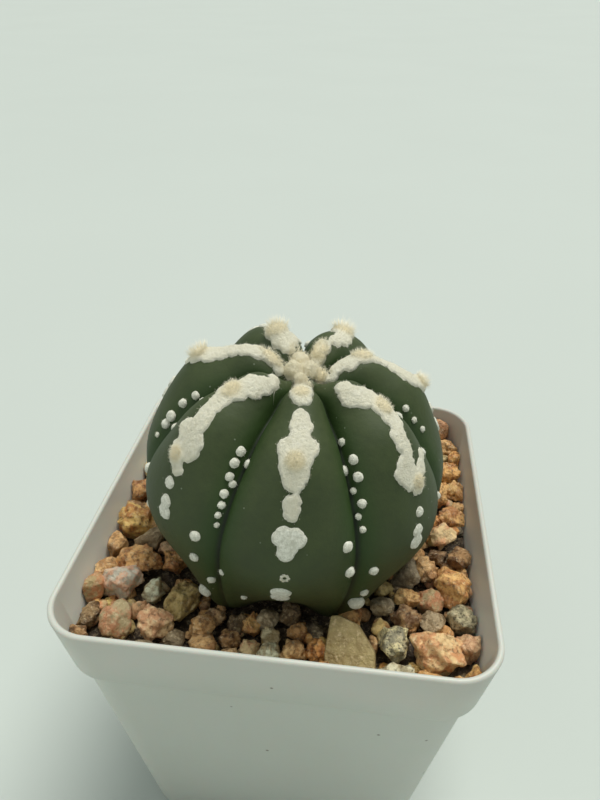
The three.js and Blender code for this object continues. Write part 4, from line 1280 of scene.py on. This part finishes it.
def make_stage(sizes):
    """A plain pale floor, a soft room, a window's light from above, a weaker one in front, and the camera."""
    bm = bmesh.new()
    bmesh.ops.create_grid(bm, x_segments=1, y_segments=1, size=STAGE["floor_half"])
    floor = new_object("floor", to_mesh(bm, "floor"))
    floor.data.materials.append(floor_finish((*sizes.floor_colour, 1)))
    world = bpy.data.worlds.new("soft_room")
    world.use_nodes = True
    back = world.node_tree.nodes["Background"]
    back.inputs["Color"].default_value = STAGE["room_colour"]
    back.inputs["Strength"].default_value = sizes.room_light
    bpy.context.scene.world = world
    for name, strength in (("window", sizes.window_light), ("fill", sizes.fill_light)):
        toward, softness, colour = LIGHTS[name]
        data = bpy.data.lights.new(name, "SUN")
        data.angle = math.radians(softness)
        data.energy = strength
        data.color = colour
        light = new_object(name, data)
        light.location = toward
        light.rotation_mode = "QUATERNION"
        light.rotation_quaternion = (-Vector(toward)).to_track_quat("-Z", "Y")
    # The plain view shows the colours as they are mixed.
    bpy.context.scene.view_settings.view_transform = "Standard"
    yaw, pitch, roll = CAMERA["yaw"], CAMERA["pitch"], CAMERA["roll"]
    ahead = Vector((math.sin(yaw) * math.cos(pitch), math.cos(yaw) * math.cos(pitch), -math.sin(pitch)))
    right = Vector((math.cos(yaw), -math.sin(yaw), 0))
    up = right.cross(ahead)
    aside = right * math.cos(roll) + up * math.sin(roll)
    top = -right * math.sin(roll) + up * math.cos(roll)
    data = bpy.data.cameras.new("camera")
    data.lens = sizes.lens
    data.sensor_width = STAGE["sensor_width"]
    data.clip_start = STAGE["nearest"]
    camera = new_object("camera", data)
    turn = Matrix((aside, top, -ahead)).transposed().to_4x4()
    camera.matrix_world = Matrix.Translation(Vector(CAMERA["place"]) * MM) @ turn
    bpy.context.scene.camera = camera


# The settings that a user would change


class PotLook(bpy.types.PropertyGroup):
    colour: FloatVectorProperty(
        name="Colour", description="Colour of the plastic", default=(0.58, 0.60, 0.54), subtype="COLOR", min=0, max=1
    )


class GravelLook(bpy.types.PropertyGroup):
    grit: IntProperty(name="Grit", description="Small stones strewn between the others", default=420, min=0)


class PlantLook(bpy.types.PropertyGroup):
    colour: FloatVectorProperty(
        name="Skin", description="Green of the skin", default=(0.037, 0.055, 0.017), subtype="COLOR", min=0, max=1
    )


class WoolLook(bpy.types.PropertyGroup):
    colour: FloatVectorProperty(
        name="Felt", description="Colour of the felt", default=(0.93, 0.90, 0.72), subtype="COLOR", min=0, max=1
    )
    hair_thickness: FloatProperty(
        name="Hair thickness", description="Radius of a hair at its root", default=0.00003, unit="LENGTH", min=0.00001
    )
    cover: FloatProperty(
        name="Cover", description="Share of the felt's points that carry a hair", default=0.4, min=0, max=1
    )
    brush: IntProperty(name="Brush", description="Hairs on each woolly point", default=300, min=0)


class StageLook(bpy.types.PropertyGroup):
    floor_colour: FloatVectorProperty(
        name="Floor", description="Colour of the floor", default=(0.53, 0.58, 0.54), subtype="COLOR", min=0, max=1
    )
    room_light: FloatProperty(name="Room light", description="Strength of the light all round", default=0.38, min=0)
    window_light: FloatProperty(
        name="Window light", description="Strength of the light behind and above", default=2.75, min=0
    )
    fill_light: FloatProperty(name="Fill light", description="Strength of the light in front", default=0.4, min=0)
    lens: FloatProperty(
        name="Lens", description="Focal length", default=CAMERA["lens"], subtype="DISTANCE_CAMERA", min=1
    )


# Operators


class CACTUS_OT_pot(bpy.types.Operator):
    """Make the plastic pot and give the potting mix its finish"""

    bl_idname = "cactus.pot"
    bl_label = "Pot"

    def execute(self, context):
        make_pot(context.scene.cactus_pot)
        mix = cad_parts["potting_mix"]
        mix.data.materials.clear()
        mix.data.materials.append(soil_finish())
        return {"FINISHED"}


class CACTUS_OT_gravel(bpy.types.Operator):
    """Make the gravel: its stones, and the bed and grit between them"""

    bl_idname = "cactus.gravel"
    bl_label = "Gravel"

    def execute(self, context):
        make_gravel(context.scene.cactus_gravel)
        return {"FINISHED"}


class CACTUS_OT_skin(bpy.types.Operator):
    """Make the plant's skin"""

    bl_idname = "cactus.skin"
    bl_label = "Skin"

    def execute(self, context):
        make_skin(context.scene.cactus_plant)
        return {"FINISHED"}


class CACTUS_OT_wool(bpy.types.Operator):
    """Make the felt on the ribs, the crown and their hairs"""

    bl_idname = "cactus.wool"
    bl_label = "Wool"

    def execute(self, context):
        make_wool(context.scene.cactus_wool)
        return {"FINISHED"}


class CACTUS_OT_flecks(bpy.types.Operator):
    """Make the white flecks on the skin"""

    bl_idname = "cactus.flecks"
    bl_label = "Flecks"

    def execute(self, context):
        make_flecks(context.scene.cactus_wool)
        return {"FINISHED"}


class CACTUS_OT_stage(bpy.types.Operator):
    """Make the floor, the light and the camera"""

    bl_idname = "cactus.stage"
    bl_label = "Stage"

    def execute(self, context):
        make_stage(context.scene.cactus_stage)
        return {"FINISHED"}


class CACTUS_PT_panel(bpy.types.Panel):
    bl_idname = "CACTUS_PT_panel"
    bl_label = "Potted cactus"
    bl_space_type = "VIEW_3D"
    bl_region_type = "UI"
    bl_category = "Cactus"

    def draw(self, context):
        for place, (look, operators) in LOOKS.items():
            box = self.layout.box()
            for name in look.__annotations__:
                box.prop(getattr(context.scene, place), name)
            for operator in operators:
                box.operator(operator)


# Each group of settings, by its name on the scene, with the operators that read it.
LOOKS = {
    "cactus_pot": (PotLook, ("cactus.pot",)),
    "cactus_gravel": (GravelLook, ("cactus.gravel",)),
    "cactus_plant": (PlantLook, ("cactus.skin",)),
    "cactus_wool": (WoolLook, ("cactus.wool", "cactus.flecks")),
    "cactus_stage": (StageLook, ("cactus.stage",)),
}
OPERATORS = (
    CACTUS_OT_pot, CACTUS_OT_gravel, CACTUS_OT_skin, CACTUS_OT_wool, CACTUS_OT_flecks, CACTUS_OT_stage,
)


CLASSES = (*(look for look, _ in LOOKS.values()), *OPERATORS, CACTUS_PT_panel)


def register():
    for made in CLASSES:
        bpy.utils.register_class(made)
    for name, (look, _) in LOOKS.items():
        setattr(bpy.types.Scene, name, PointerProperty(type=look))


def unregister():
    for name in LOOKS:
        delattr(bpy.types.Scene, name)
    for made in reversed(CLASSES):
        bpy.utils.unregister_class(made)


def main():
    register()
    for name in ("pot", "gravel", "skin", "wool", "flecks", "stage"):
        getattr(bpy.ops.cactus, name)()


if __name__ == "__main__":
    main()
